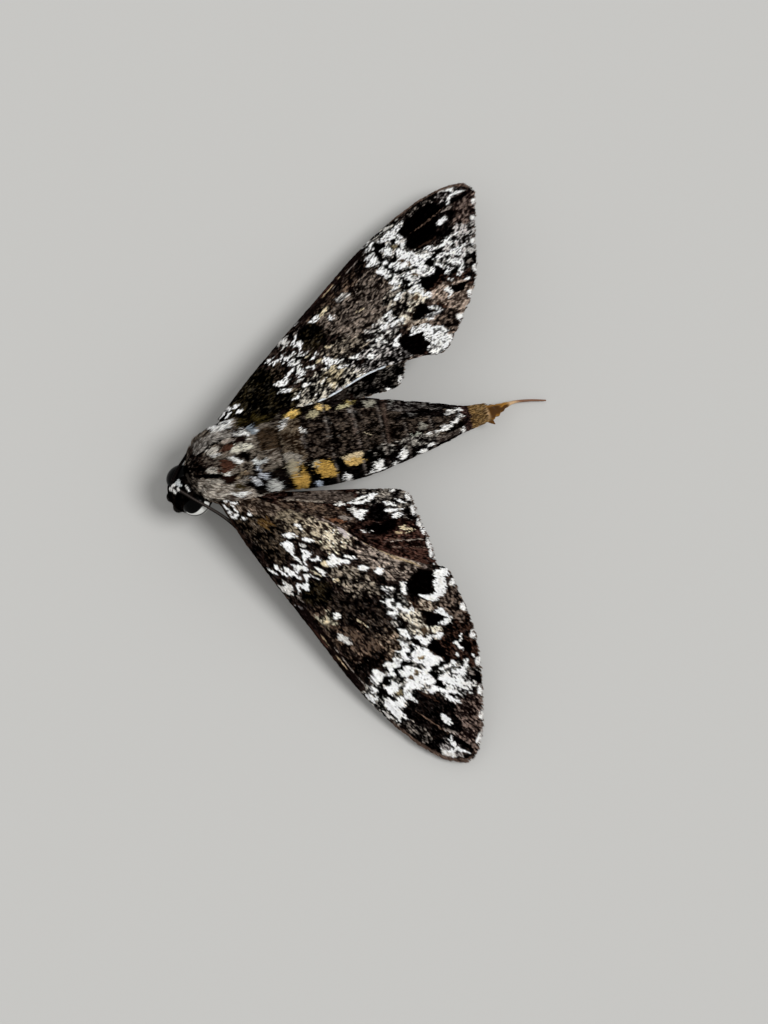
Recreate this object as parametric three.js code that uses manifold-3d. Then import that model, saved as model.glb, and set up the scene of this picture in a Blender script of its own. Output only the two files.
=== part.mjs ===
// Rustic sphinx moth (Manduca rustica), a life-size still model resting on the floor with its wings spread.
// Millimetres, +Z up. The head points to -Y and the moth's own left is +X.
// The origin is the centre of the bounding box's underside, so the feet stand on z = 0.
import * as THREE from "three";
import { mergeVertices } from "three/addons/utils/BufferGeometryUtils.js";
import Module from "manifold-3d";

const wasm = await Module();
wasm.setup();

// ---- driving dimensions ----
const GAP = 0.3; // clear space between neighbouring pieces

// Body stations: [y, value], y running from the collar to the end of the tail tuft.
const BODY_X = [[-7, 0], [0, -0.1], [9, -0.4], [18.3, -0.12], [26, 0.27], [36.3, 0.36], [39.6, 0]];
const BODY_Z = [[-7, 8.1], [0, 8.5], [9, 8], [18.3, 7.5], [26, 6.9], [32.3, 6], [36.3, 5.2], [39.6, 4.2]];
const BODY_HALF_WIDTH = [
  [-7, 2.6], [-6, 4.1], [-4.3, 5.3], [-2, 6.1], [0, 6.5], [4, 6.5], [8.5, 6.3],
  [12, 6.6], [17, 6.5], [20, 6.2], [24, 5.3], [28, 4.3], [32, 3.3], [36, 2.1], [39.6, 1.5],
];
const BODY_HALF_HEIGHT = [
  [-7, 2.9], [-6, 4.1], [-4, 5.3], [0, 6.1], [4, 6], [8.5, 5.6],
  [18, 5.3], [24, 4.6], [28, 3.8], [32, 2.9], [36, 1.9], [39.6, 1],
];
const BODY_SIDES = 20;
const BODY_STEP = 2.2; // longest distance between two body rings
const BELLY_FLATTENING = 0.94; // the underside is a little flatter than the back
const COLLAR_FRONT = -6.7;
const COLLAR_BACK = -4.4;
const THORAX_BACK = 8.7;
const ABDOMEN_JOINTS = [8.7, 11.4, 15.4, 19.6, 23.4, 26.9, 30.8, 34.8];
const TAIL_TUFT_END = 39.6;

// Head, in its own frame: x to the moth's left, y back, z up, turned a little to the left.
const HEAD_CENTRE = [2.45, -7.5, 7.2];
const HEAD_YAW = 20;
const HEAD_HALF_WIDTH = [[-3, 1], [-2.2, 2.5], [-1.1, 3.7], [0.4, 4.35], [2.1, 3.7], [3.3, 2.2]];
const HEAD_HALF_HEIGHT = [[-3, 1.3], [-2, 2.6], [0, 3.5], [2, 3.1], [3.3, 2.2]];
const HEAD_SIDES = 16;
const HEAD_STATIONS = 7;
const HEAD_ROOM = 1.09; // scale of the space that the collar and thorax leave for the head
const EYE_RADIUS = 2.1;
const EYE_OFFSET = [2.25, 0.2, 0.85];
const EYE_STRETCH = [0.95, 1.1, 1];
const EYE_GRID = [14, 10]; // faces round and from pole to pole
const PALP_OFFSET = [0.95, -2.25, -1.3];
const PALP_RADII = [0.95, 1.15, 1.9];
const PALP_GRID = [12, 8];
const COIL_CENTRE = [0, -1.5, -3.2];
const COIL_RADIUS = 1.4; // to the middle of the outer turn
const COIL_PITCH = 0.85;
const COIL_TURNS = 1.4;
const TONGUE_RADIUS = 0.28;
const COIL_STATIONS = 22;
const COIL_SIDES = 7;
const COIL_ROOM_SIDES = 12;

// Antennae, laid back over the eyes and along the leading edges: centre line, and radius along it.
const ANTENNA_LEFT = [
  [2.8, -8.3, 10.9], [4.6, -6.5, 11.1], [6, -4.8, 10.1],
  [7.5, -3.1, 8.8], [8.8, -1.9, 7.5], [11, -0.3, 5.8], [15, 2.6, 4.2], [19, 5.6, 3.3],
];
const ANTENNA_RIGHT = [
  [0.9, -9.1, 10.8], [-0.7, -8, 10.4], [-2.4, -6.9, 8.4],
  [-4.2, -5.6, 6.2], [-5.7, -3.4, 5], [-7.4, -0.6, 4.9], [-10, 4, 5.2], [-13, 9.4, 5.6],
];
const ANTENNA_RADIUS = [[0, 0.42], [0.12, 0.36], [0.6, 0.42], [1, 0.26]];
const ANTENNA_SIDES = 7;
const ANTENNA_STATIONS = 18;

// Tegulae, the shoulder pads over the wing roots.
const TEGULA_CENTRE = [4.7, -1.2, 11.2];
const TEGULA_RADII = [2.5, 4.6, 3.2];
const TEGULA_RISE = 0.3; // how far the pads stand out of the thorax
const TEGULA_GRID = [14, 10];

// Wings. s runs from the root to the tip, t from the leading edge to the trailing one, which is the higher.
// Thickness is given at the leading and the trailing edge.
const FOREWING = {
  costa: [[0, -1.2], [8, -2.8], [24, -4.8], [35, -6], [44, -5.7], [50.5, -4.2], [53.4, -2.2], [54, -0.8]],
  trail: [
    [0, 1.8], [7, 5.2], [13, 8.6], [21, 10.8], [28, 14.6], [30.3, 16.4],
    [33, 15.8], [41.5, 12], [50, 5], [53, 1.5], [54, -0.8],
  ],
  thickness: [0.95, 0.55],
  camber: 0.8,
  stations: 26,
};
const WING_ROOTS = {
  l: { side: 1, place: [5, -2.1, 9.5], sweep: 32, droop: 8.3, slope: 14, hindSwing: 30 },
  r: { side: -1, place: [-6.1, 0.2, 9.5], sweep: 58, droop: 3.7, slope: 15.5, hindSwing: 14.5 },
};
// The hindwings swing about a hinge of their own, in a plane below the forewings'.
const HINDWING_HINGE = [1.5, 1.2];
const HINDWING_DEPTH = 1.3;
const HINDWING = {
  costa: [[0, -0.5], [7, -4.2], [17, -7.2], [26, -7.6], [31, -6.9], [33, -5.2]],
  trail: [[0, 0.4], [4, 2], [14.5, 5.5], [20, 7.2], [23.9, 7.8], [26.2, 5], [29.4, 1.3], [33, -5.2]],
  thickness: [0.6, 0.5],
  camber: 0.5,
  stations: 18,
};
const WING_CHORD_STEPS = 5;
const WING_TIP_CROWDING = 1.25; // above 1, the rings lie closer together towards the tip
const WING_TIP_SHARE = 0.998; // the last ring stops just short of the pointed end
const CAMBER_FADE = 8; // the camber dies away over this length before the tip

// Legs: hip, knee, ankle and toe of each, x to the moth's own side of the body.
const LEGS = {
  leg_fore_l: [[2.4, -3.9, 2.7], [4.3, -5.8, 3.1], [3.9, -7.7, 1], [2.8, -9.6, 0.3]],
  leg_fore_r: [[-2.4, -3.9, 2.7], [-3.7, -5.6, 3.1], [-2.4, -7.5, 1], [-0.9, -9.4, 0.3]],
  leg_mid_l: [[3.5, 0.5, 2.3], [8.5, 1.7, 4.4], [11.2, 3.6, 1], [13.8, 5.8, 0.3]],
  leg_mid_r: [[-3.5, 0.5, 2.3], [-8, 2.2, 4.3], [-10.2, 5.2, 1], [-11.7, 8.6, 0.3]],
  leg_hind_l: [[3.2, 5.2, 2.3], [9, 9, 4.1], [11.5, 14.2, 1], [12.6, 18.8, 0.3]],
  leg_hind_r: [[-3.2, 5.2, 2.3], [-8.6, 9.6, 4], [-10.6, 14.8, 1], [-11.8, 19.6, 0.3]],
};
const LEG_RADIUS = [[0, 0.6], [0.3, 0.72], [0.45, 0.6], [0.68, 0.48], [0.75, 0.4], [1, 0.36]];
const LEG_SIDES = 7;
const LEG_STATIONS = 12;

// The pointed tip past the tail tuft, twisted and drawn out into a thread: centre line and half sizes.
const TAIL_TIP = [
  [0, 39.9, 3.9], [-0.4, 41.4, 2.9], [-1, 43.2, 1.9], [-1.3, 45, 1.2], [-1.1, 47.3, 0.75], [-0.6, 49.7, 0.5],
];
const TAIL_TIP_HALF_WIDTH = [[0, 1.25], [0.15, 1.45], [0.4, 0.75], [0.55, 0.35], [1, 0.27]];
const TAIL_TIP_HALF_HEIGHT = [[0, 0.75], [0.2, 0.65], [0.4, 0.42], [0.55, 0.3], [1, 0.27]];
const TAIL_TIP_TWIST = 70; // degrees from one end to the other
const TAIL_TIP_SIDES = 6;
const TAIL_TIP_STATIONS = 14;

// ---- finishes ----
const FINISHES = {
  scales_dark: { color: 0x3a332d, roughness: 0.85 },
  scales_grey: { color: 0x8a8178, roughness: 0.9 },
  scales_black: { color: 0x1d1a19, roughness: 0.85 },
  eye_black: { color: 0x0a0908, roughness: 0.15 },
  feeler: { color: 0x5c5046, roughness: 0.7 },
  leg: { color: 0x6a5d51, roughness: 0.85 },
  tongue: { color: 0x6b4526, roughness: 0.4 },
  wing_fore: { color: 0x54483f, roughness: 0.85 },
  wing_hind: { color: 0x40352e, roughness: 0.85 },
  tuft_ochre: { color: 0x8a6a38, roughness: 0.8 },
  tip_amber: { color: 0x6b4316, roughness: 0.45 },
};

// ---- helpers ----
// A smooth curve through [position, value] knots, held level beyond the ends.
function smooth(knots) {
  const slopes = knots.map((_, i) => {
    const before = knots[Math.max(i - 1, 0)];
    const after = knots[Math.min(i + 1, knots.length - 1)];
    return (after[1] - before[1]) / (after[0] - before[0]);
  });
  return (position) => {
    let i = 0;
    while (i < knots.length - 2 && position > knots[i + 1][0]) i += 1;
    const span = knots[i + 1][0] - knots[i][0];
    const u = THREE.MathUtils.clamp((position - knots[i][0]) / span, 0, 1);
    const rise = u * u * (3 - 2 * u);
    const leave = u * (1 - u) * (1 - u) * span * slopes[i];
    const arrive = u * u * (u - 1) * span * slopes[i + 1];
    return knots[i][1] * (1 - rise) + knots[i + 1][1] * rise + leave + arrive;
  };
}

const degrees = THREE.MathUtils.degToRad;
const vector = (place) => new THREE.Vector3(...place);

// Closed solid through rings that all have the same number of points, with a flat fan at each end.
function loft(rings) {
  const sides = rings[0].length;
  const points = rings.flat();
  const faces = [];
  for (let r = 0; r + 1 < rings.length; r += 1) {
    for (let i = 0; i < sides; i += 1) {
      const a = r * sides + i;
      const b = r * sides + ((i + 1) % sides);
      faces.push([a, b, a + sides], [b, b + sides, a + sides]);
    }
  }
  for (const [ring, flip] of [[0, true], [rings.length - 1, false]]) {
    const sum = rings[ring].reduce((total, point) => total.add(point), new THREE.Vector3());
    const centre = sum.divideScalar(sides);
    const hub = points.push(centre) - 1;
    for (let i = 0; i < sides; i += 1) {
      const a = ring * sides + i;
      const b = ring * sides + ((i + 1) % sides);
      faces.push(flip ? [b, a, hub] : [a, b, hub]);
    }
  }
  const volume = faces.reduce((total, [a, b, c]) => {
    return total + points[a].dot(new THREE.Vector3().crossVectors(points[b], points[c]));
  }, 0);
  const outward = volume > 0 ? faces : faces.map(([a, b, c]) => [a, c, b]);
  const geometry = new THREE.BufferGeometry();
  const places = points.flatMap((point) => point.toArray());
  geometry.setAttribute("position", new THREE.Float32BufferAttribute(places, 3));
  geometry.setIndex(outward.flat());
  return geometry;
}

// three.js geometry to a manifold solid, and back.
function solid(geometry) {
  const bare = geometry.clone();
  bare.deleteAttribute("normal");
  bare.deleteAttribute("uv");
  const merged = mergeVertices(bare, 1e-4);
  return new wasm.Manifold(new wasm.Mesh({
    numProp: 3,
    vertProperties: new Float32Array(merged.attributes.position.array),
    triVerts: new Uint32Array(merged.index.array),
  }));
}

function shape(manifold) {
  const result = manifold.getMesh();
  const geometry = new THREE.BufferGeometry();
  const places = new Float32Array(result.vertProperties);
  geometry.setAttribute("position", new THREE.BufferAttribute(places, 3));
  geometry.setIndex(new THREE.BufferAttribute(new Uint32Array(result.triVerts), 1));
  return geometry;
}

// The largest piece of a solid after cutting others from it, so that no loose sliver stays.
function carve(whole, ...cutters) {
  let rest = whole;
  for (const cutter of cutters) rest = rest.subtract(cutter);
  return rest.decompose().sort((a, b) => b.volume() - a.volume())[0];
}

// Tube along a smooth path; its half sizes are functions of the share of the way along, and it may twist.
function tube(path, halfWidth, halfHeight, sides, stations, { grow = 0, twist = 0 } = {}) {
  const curve = new THREE.CatmullRomCurve3(path.map(vector), false, "centripetal");
  const rings = [];
  for (let n = 0; n <= stations; n += 1) {
    const u = n / stations;
    const along = curve.getTangentAt(u);
    const across = new THREE.Vector3().crossVectors(along, new THREE.Vector3(0, 0, 1)).normalize();
    const up = new THREE.Vector3().crossVectors(across, along);
    const turn = degrees(twist) * u;
    rings.push(Array.from({ length: sides }, (_, i) => {
      const angle = ((i + 0.5) / sides) * 2 * Math.PI;
      const wide = Math.cos(angle) * (halfWidth(u) + grow);
      const high = Math.sin(angle) * (halfHeight(u) + grow);
      return curve.getPointAt(u)
        .addScaledVector(across, wide * Math.cos(turn) - high * Math.sin(turn))
        .addScaledVector(up, wide * Math.sin(turn) + high * Math.cos(turn));
    }));
  }
  return loft(rings);
}

function ellipsoid(centre, radii, across, down) {
  return new THREE.SphereGeometry(1, across, down).scale(...radii).translate(...centre);
}

// ---- body ----
const bodyX = smooth(BODY_X);
const bodyZ = smooth(BODY_Z);
const bodyHalfWidth = smooth(BODY_HALF_WIDTH);
const bodyHalfHeight = smooth(BODY_HALF_HEIGHT);

function bodyRing(y, grow) {
  return Array.from({ length: BODY_SIDES }, (_, i) => {
    const angle = (i / BODY_SIDES) * 2 * Math.PI;
    const height = (bodyHalfHeight(y) + grow) * (Math.sin(angle) < 0 ? BELLY_FLATTENING : 1);
    const x = bodyX(y) + Math.cos(angle) * (bodyHalfWidth(y) + grow);
    return new THREE.Vector3(x, y, bodyZ(y) + Math.sin(angle) * height);
  });
}

// A length of the body, ending half a gap short of its neighbours.
function bodyLength(front, back, grow = 0, gap = GAP / 2) {
  const steps = Math.max(2, Math.ceil((back - front) / BODY_STEP));
  const rings = [];
  for (let n = 0; n <= steps; n += 1) {
    rings.push(bodyRing(THREE.MathUtils.lerp(front + gap, back - gap, n / steps), grow));
  }
  return solid(loft(rings));
}

// ---- head ----
const headFrame = new THREE.Matrix4()
  .makeRotationZ(degrees(HEAD_YAW))
  .setPosition(vector(HEAD_CENTRE));

function headRings() {
  const halfWidth = smooth(HEAD_HALF_WIDTH);
  const halfHeight = smooth(HEAD_HALF_HEIGHT);
  const front = HEAD_HALF_WIDTH[0][0];
  const back = HEAD_HALF_WIDTH.at(-1)[0];
  return Array.from({ length: HEAD_STATIONS + 1 }, (_, n) => {
    const y = THREE.MathUtils.lerp(front, back, n / HEAD_STATIONS);
    return Array.from({ length: HEAD_SIDES }, (_side, i) => {
      const angle = (i / HEAD_SIDES) * 2 * Math.PI;
      return new THREE.Vector3(Math.cos(angle) * halfWidth(y), y, Math.sin(angle) * halfHeight(y));
    });
  });
}

function eye(side, grow = 0) {
  const centre = [side * EYE_OFFSET[0], EYE_OFFSET[1], EYE_OFFSET[2]];
  const radii = EYE_STRETCH.map((stretch) => EYE_RADIUS * stretch + grow);
  return solid(ellipsoid(centre, radii, ...EYE_GRID).applyMatrix4(headFrame));
}

function palp(side, grow = 0) {
  const centre = [side * PALP_OFFSET[0], PALP_OFFSET[1], PALP_OFFSET[2]];
  const radii = PALP_RADII.map((radius) => radius + grow);
  return solid(ellipsoid(centre, radii, ...PALP_GRID).applyMatrix4(headFrame));
}

// The tongue, rolled up in the head's middle plane: each ring lies square to the spiral.
function tongueCoil() {
  const rings = [];
  for (let n = 0; n <= COIL_STATIONS; n += 1) {
    const turn = (n / COIL_STATIONS) * COIL_TURNS;
    const angle = turn * 2 * Math.PI - Math.PI / 2;
    const out = new THREE.Vector3(0, Math.cos(angle), Math.sin(angle));
    const middle = vector(COIL_CENTRE).addScaledVector(out, COIL_RADIUS - turn * COIL_PITCH);
    rings.push(Array.from({ length: COIL_SIDES }, (_, i) => {
      const around = (i / COIL_SIDES) * 2 * Math.PI;
      return middle.clone()
        .add(new THREE.Vector3(TONGUE_RADIUS * Math.cos(around), 0, 0))
        .addScaledVector(out, TONGUE_RADIUS * Math.sin(around));
    }));
  }
  return solid(loft(rings).applyMatrix4(headFrame));
}

function coilRoom() {
  const radius = COIL_RADIUS + TONGUE_RADIUS + GAP;
  const room = new THREE.CylinderGeometry(radius, radius, 2 * (TONGUE_RADIUS + GAP), COIL_ROOM_SIDES);
  return solid(room.rotateZ(Math.PI / 2).translate(...COIL_CENTRE).applyMatrix4(headFrame));
}

function antenna(path, grow = 0) {
  const radius = smooth(ANTENNA_RADIUS);
  return solid(tube(path, radius, radius, ANTENNA_SIDES, ANTENNA_STATIONS, { grow }));
}

// ---- tegulae ----
function tegulaZone(side, grow = 0) {
  const centre = [side * TEGULA_CENTRE[0], TEGULA_CENTRE[1], TEGULA_CENTRE[2]];
  return solid(ellipsoid(centre, TEGULA_RADII.map((radius) => radius + grow), ...TEGULA_GRID));
}

// ---- wings ----
// A wing's own frame: the root, the way to the tip, the way to the trailing edge, and the upward normal.
function wingFrame({ side, place, sweep, droop, slope }) {
  const along = new THREE.Vector3(
    side * Math.cos(degrees(sweep)) * Math.cos(degrees(droop)),
    Math.sin(degrees(sweep)) * Math.cos(degrees(droop)),
    -Math.sin(degrees(droop)),
  );
  const level = new THREE.Vector3(-side * Math.sin(degrees(sweep)), Math.cos(degrees(sweep)), 0);
  const flatNormal = new THREE.Vector3().crossVectors(along, level).multiplyScalar(side);
  const back = level.multiplyScalar(Math.cos(degrees(slope)))
    .addScaledVector(flatNormal, Math.sin(degrees(slope)));
  const normal = new THREE.Vector3().crossVectors(along, back).multiplyScalar(side);
  return { root: vector(place), along, back, normal };
}

// Rings round a wing from root to tip, between its two edges; placePoint puts (s, t, height) in space.
function wingPlate({ costa, trail, thickness, camber, stations }, placePoint) {
  const length = costa.at(-1)[0];
  const leading = smooth(costa);
  const trailing = smooth(trail);
  const rings = [];
  for (let n = 0; n <= stations; n += 1) {
    const s = length * (1 - (1 - n / stations) ** WING_TIP_CROWDING) * WING_TIP_SHARE;
    const top = [];
    const bottom = [];
    for (let i = 0; i <= WING_CHORD_STEPS; i += 1) {
      const v = i / WING_CHORD_STEPS;
      const t = THREE.MathUtils.lerp(leading(s), trailing(s), v);
      const arch = camber * Math.sin(Math.PI * v) * Math.min(1, (length - s) / CAMBER_FADE);
      const half = THREE.MathUtils.lerp(thickness[0], thickness[1], v) / 2;
      top.push(placePoint(s, t, arch + half));
      bottom.push(placePoint(s, t, arch - half));
    }
    rings.push([...top, ...bottom.reverse()]);
  }
  return solid(loft(rings));
}

function forewing(pose) {
  const frame = wingFrame(pose);
  return wingPlate(FOREWING, (s, t, height) => frame.root.clone()
    .addScaledVector(frame.along, s)
    .addScaledVector(frame.back, t)
    .addScaledVector(frame.normal, height));
}

function hindwing(pose) {
  const frame = wingFrame(pose);
  const swing = degrees(pose.hindSwing);
  return wingPlate(HINDWING, (s, t, height) => frame.root.clone()
    .addScaledVector(frame.along, HINDWING_HINGE[0] + s * Math.cos(swing) - t * Math.sin(swing))
    .addScaledVector(frame.back, HINDWING_HINGE[1] + s * Math.sin(swing) + t * Math.cos(swing))
    .addScaledVector(frame.normal, height - HINDWING_DEPTH));
}

// ---- legs and tail ----
// The underside of each foot is levelled at the floor.
function leg(path) {
  const radius = smooth(LEG_RADIUS);
  const geometry = tube(path, radius, radius, LEG_SIDES, LEG_STATIONS);
  const position = geometry.attributes.position;
  for (let i = 0; i < position.count; i += 1) position.setZ(i, Math.max(0, position.getZ(i)));
  return solid(geometry);
}

function tailTip() {
  const halfWidth = smooth(TAIL_TIP_HALF_WIDTH);
  const halfHeight = smooth(TAIL_TIP_HALF_HEIGHT);
  const turned = { twist: TAIL_TIP_TWIST };
  return solid(tube(TAIL_TIP, halfWidth, halfHeight, TAIL_TIP_SIDES, TAIL_TIP_STATIONS, turned));
}

// ---- the moth ----
const moth = new THREE.Group();

function add(name, manifold, finish) {
  const mesh = new THREE.Mesh(shape(manifold), new THREE.MeshStandardMaterial(FINISHES[finish]));
  mesh.name = name;
  moth.add(mesh);
}

const SIDES = { l: 1, r: -1 };
const feelerRoom = [antenna(ANTENNA_LEFT, GAP), antenna(ANTENNA_RIGHT, GAP)];
const eyeRoom = Object.values(SIDES).map((side) => eye(side, GAP));
const headWhole = solid(loft(headRings()).applyMatrix4(headFrame));
const headRoom = solid(loft(headRings()).scale(HEAD_ROOM, HEAD_ROOM, HEAD_ROOM).applyMatrix4(headFrame));
const bodyRoom = bodyLength(COLLAR_FRONT, TAIL_TUFT_END, GAP, 0);
const tegulaRoom = Object.values(SIDES).map((side) => tegulaZone(side, GAP));

function addHead() {
  const palpRoom = Object.values(SIDES).map((side) => palp(side, GAP));
  add("head", carve(headWhole, ...eyeRoom, ...palpRoom, coilRoom(), ...feelerRoom), "scales_black");
  for (const [letter, side] of Object.entries(SIDES)) {
    add(`eye_${letter}`, carve(eye(side), ...feelerRoom), "eye_black");
    add(`palp_${letter}`, carve(palp(side), coilRoom(), ...eyeRoom), "scales_grey");
  }
  add("proboscis", tongueCoil(), "tongue");
  add("antenna_l", antenna(ANTENNA_LEFT), "feeler");
  add("antenna_r", antenna(ANTENNA_RIGHT), "feeler");
}

function addThorax() {
  const collar = bodyLength(COLLAR_FRONT, COLLAR_BACK);
  const thorax = bodyLength(COLLAR_BACK, THORAX_BACK);
  add("collar", carve(collar, headRoom, ...eyeRoom, ...feelerRoom), "scales_black");
  add("thorax", carve(thorax, ...tegulaRoom, headRoom, ...feelerRoom), "scales_grey");
  const raised = bodyLength(COLLAR_BACK, THORAX_BACK, TEGULA_RISE);
  for (const [letter, side] of Object.entries(SIDES)) {
    add(`tegula_${letter}`, carve(tegulaZone(side).intersect(raised), ...feelerRoom), "scales_grey");
  }
}

function addAbdomen() {
  for (let n = 0; n + 1 < ABDOMEN_JOINTS.length; n += 1) {
    add(`abdomen_${n + 1}`, bodyLength(ABDOMEN_JOINTS[n], ABDOMEN_JOINTS[n + 1]), "scales_dark");
  }
  add("tail_tuft", bodyLength(ABDOMEN_JOINTS.at(-1), TAIL_TUFT_END), "tuft_ochre");
  add("tail_tip", tailTip(), "tip_amber");
}

function addWings() {
  for (const [letter, pose] of Object.entries(WING_ROOTS)) {
    const room = [bodyRoom, ...tegulaRoom, ...feelerRoom];
    add(`wing_fore_${letter}`, carve(forewing(pose), ...room), "wing_fore");
    add(`wing_hind_${letter}`, carve(hindwing(pose), ...room), "wing_hind");
  }
}

function addLegs() {
  for (const [name, path] of Object.entries(LEGS)) add(name, leg(path), "leg");
}

addHead();
addThorax();
addAbdomen();
addWings();
addLegs();

// Bring the centre of the box's underside to the origin.
const box = new THREE.Box3().setFromObject(moth);
const middle = box.getCenter(new THREE.Vector3());
moth.position.set(-middle.x, -middle.y, -box.min.z);

export default moth;
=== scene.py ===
"""Looks of the rustic sphinx moth: skin, scales, fur, eyes, antennae, legs and tail tip, over the CAD frame.

Shapes are worked out in the moth's own millimetres, head to -Y, its left to +X and the floor at z = 0.
add_piece() turns them into the frame's metres. Markings are tones worked out from the place on each surface.
"""
import math

import bpy
import numpy as np
from mathutils import Matrix, Vector


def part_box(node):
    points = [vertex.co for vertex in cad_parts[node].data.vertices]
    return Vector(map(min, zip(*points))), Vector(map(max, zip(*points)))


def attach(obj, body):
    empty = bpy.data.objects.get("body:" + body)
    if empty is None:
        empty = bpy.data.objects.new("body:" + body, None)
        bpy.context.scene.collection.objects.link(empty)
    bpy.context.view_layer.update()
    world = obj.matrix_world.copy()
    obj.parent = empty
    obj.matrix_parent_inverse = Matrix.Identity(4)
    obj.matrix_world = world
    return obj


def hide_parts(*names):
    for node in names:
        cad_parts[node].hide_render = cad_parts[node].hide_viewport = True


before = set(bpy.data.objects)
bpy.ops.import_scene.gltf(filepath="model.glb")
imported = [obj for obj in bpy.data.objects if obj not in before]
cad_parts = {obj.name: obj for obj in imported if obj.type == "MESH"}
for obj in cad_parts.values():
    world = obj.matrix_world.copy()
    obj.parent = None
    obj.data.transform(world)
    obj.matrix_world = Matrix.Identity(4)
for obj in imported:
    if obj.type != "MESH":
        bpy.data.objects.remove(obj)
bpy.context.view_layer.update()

# ---- the solids' dimensions, in millimetres, which the skin and coat follow ----
# The body: (y, value) knots of its middle line and of its half width and half height.
BODY_X = [(-7, 0), (0, -0.1), (9, -0.4), (18.3, -0.12), (26, 0.27), (36.3, 0.36), (39.6, 0)]
BODY_Z = [(-7, 8.1), (0, 8.5), (9, 8), (18.3, 7.5), (26, 6.9), (32.3, 6), (36.3, 5.2), (39.6, 4.2)]
BODY_HALF_WIDTH = [
    (-7, 2.6), (-6, 4.1), (-4.3, 5.3), (-2, 6.1), (0, 6.5), (4, 6.5), (8.5, 6.3),
    (12, 6.6), (17, 6.5), (20, 6.2), (24, 5.3), (28, 4.3), (32, 3.3), (36, 2.1), (39.6, 1.5),
]
BODY_HALF_HEIGHT = [
    (-7, 2.9), (-6, 4.1), (-4, 5.3), (0, 6.1), (4, 6), (8.5, 5.6),
    (18, 5.3), (24, 4.6), (28, 3.8), (32, 2.9), (36, 1.9), (39.6, 1),
]
BELLY_FLATTENING = 0.94
ABDOMEN_JOINTS = [8.7, 11.4, 15.4, 19.6, 23.4, 26.9, 30.8, 34.8]
GAP = 0.3  # between neighbouring solids
TEGULA_CENTRE = (4.7, -1.2, 11.2)
TEGULA_RADII = (2.5, 4.6, 3.2)
TEGULA_RISE = 0.3

# The head: where its centre lies and how far it is turned to its left, and the rest in its own frame.
HEAD_CENTRE = (2.45, -7.5, 7.2)
HEAD_YAW = math.radians(20)
HEAD_HALF_WIDTH = [(-3, 1), (-2.2, 2.5), (-1.1, 3.7), (0.4, 4.35), (2.1, 3.7), (3.3, 2.2)]
HEAD_HALF_HEIGHT = [(-3, 1.3), (-2, 2.6), (0, 3.5), (2, 3.1), (3.3, 2.2)]
EYE_OFFSET = (2.25, 0.2, 0.85)
EYE_RADII = (1.95, 2.2, 2.0)
PALP_OFFSET = (0.95, -2.25, -1.3)
PALP_RADII = (0.8, 0.95, 1.7)
COIL_CENTRE = (0, -1.5, -3.2)
COIL_RADIUS = 1.4
COIL_PITCH = 0.85
COIL_TURNS = 1.4
TONGUE_RADIUS = 0.28

ANTENNA_PATHS = {
    "l": [
        (2.8, -8.3, 10.9), (4.6, -6.5, 11.1), (6, -4.8, 10.1),
        (7.5, -3.1, 8.8), (8.8, -1.9, 7.5), (11, -0.3, 5.8), (15, 2.6, 4.2), (19, 5.6, 3.3),
    ],
    "r": [
        (0.9, -9.1, 10.8), (-0.7, -8, 10.4), (-2.4, -6.9, 8.4),
        (-4.2, -5.6, 6.2), (-5.7, -3.4, 5), (-7.4, -0.6, 4.9), (-10, 4, 5.2), (-13, 9.4, 5.6),
    ],
}
ANTENNA_RADIUS = [(0, 0.42), (0.12, 0.36), (0.6, 0.42), (1, 0.26)]

# The wings: (s, t) knots of both edges, s running from root to tip and t from front to back.
FOREWING = {
    "costa": [
        (0, -1.2), (8, -2.8), (24, -4.8), (35, -6), (44, -5.7), (50.5, -4.2), (53.4, -2.2), (54, -0.8),
    ],
    "trail": [
        (0, 1.8), (7, 5.2), (13, 8.6), (21, 10.8), (28, 14.6), (30.3, 16.4),
        (33, 15.8), (41.5, 12), (50, 5), (53, 1.5), (54, -0.8),
    ],
    "camber": 0.8,
}
HINDWING = {
    "costa": [(0, -0.5), (7, -4.2), (17, -7.2), (26, -7.6), (31, -6.9), (33, -5.2)],
    "trail": [(0, 0.4), (4, 2), (14.5, 5.5), (20, 7.2), (23.9, 7.8), (26.2, 5), (29.4, 1.3), (33, -5.2)],
    "camber": 0.5,
}
# How each pair of wings lies, with angles in degrees. worn is how many mm of the forewing's outer edge are
# worn away before the tip.
WING_ROOTS = {
    "l": {
        "side": 1, "place": (5, -2.1, 9.5), "sweep": 32, "droop": 8.3, "slope": 14, "hind_swing": 30,
        "worn": 0,
    },
    "r": {
        "side": -1, "place": (-6.1, 0.2, 9.5), "sweep": 58, "droop": 3.7, "slope": 15.5, "hind_swing": 14.5,
        "worn": 1,
    },
}
HINDWING_HINGE = (1.5, 1.2)
HINDWING_DEPTH = 1.3
CAMBER_FADE = 8

LEGS = {
    "leg_fore_l": [(2.4, -3.9, 2.7), (4.3, -5.8, 3.1), (3.9, -7.7, 1), (2.8, -9.6, 0.3)],
    "leg_fore_r": [(-2.4, -3.9, 2.7), (-3.7, -5.6, 3.1), (-2.4, -7.5, 1), (-0.9, -9.4, 0.3)],
    "leg_mid_l": [(3.5, 0.5, 2.3), (8.5, 1.7, 4.4), (11.2, 3.6, 1), (13.8, 5.8, 0.3)],
    "leg_mid_r": [(-3.5, 0.5, 2.3), (-8, 2.2, 4.3), (-10.2, 5.2, 1), (-11.7, 8.6, 0.3)],
    "leg_hind_l": [(3.2, 5.2, 2.3), (9, 9, 4.1), (11.5, 14.2, 1), (12.6, 18.8, 0.3)],
    "leg_hind_r": [(-3.2, 5.2, 2.3), (-8.6, 9.6, 4), (-10.6, 14.8, 1), (-11.8, 19.6, 0.3)],
}
LEG_RADIUS = [(0, 0.6), (0.3, 0.72), (0.45, 0.6), (0.68, 0.48), (0.75, 0.4), (1, 0.36)]
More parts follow.
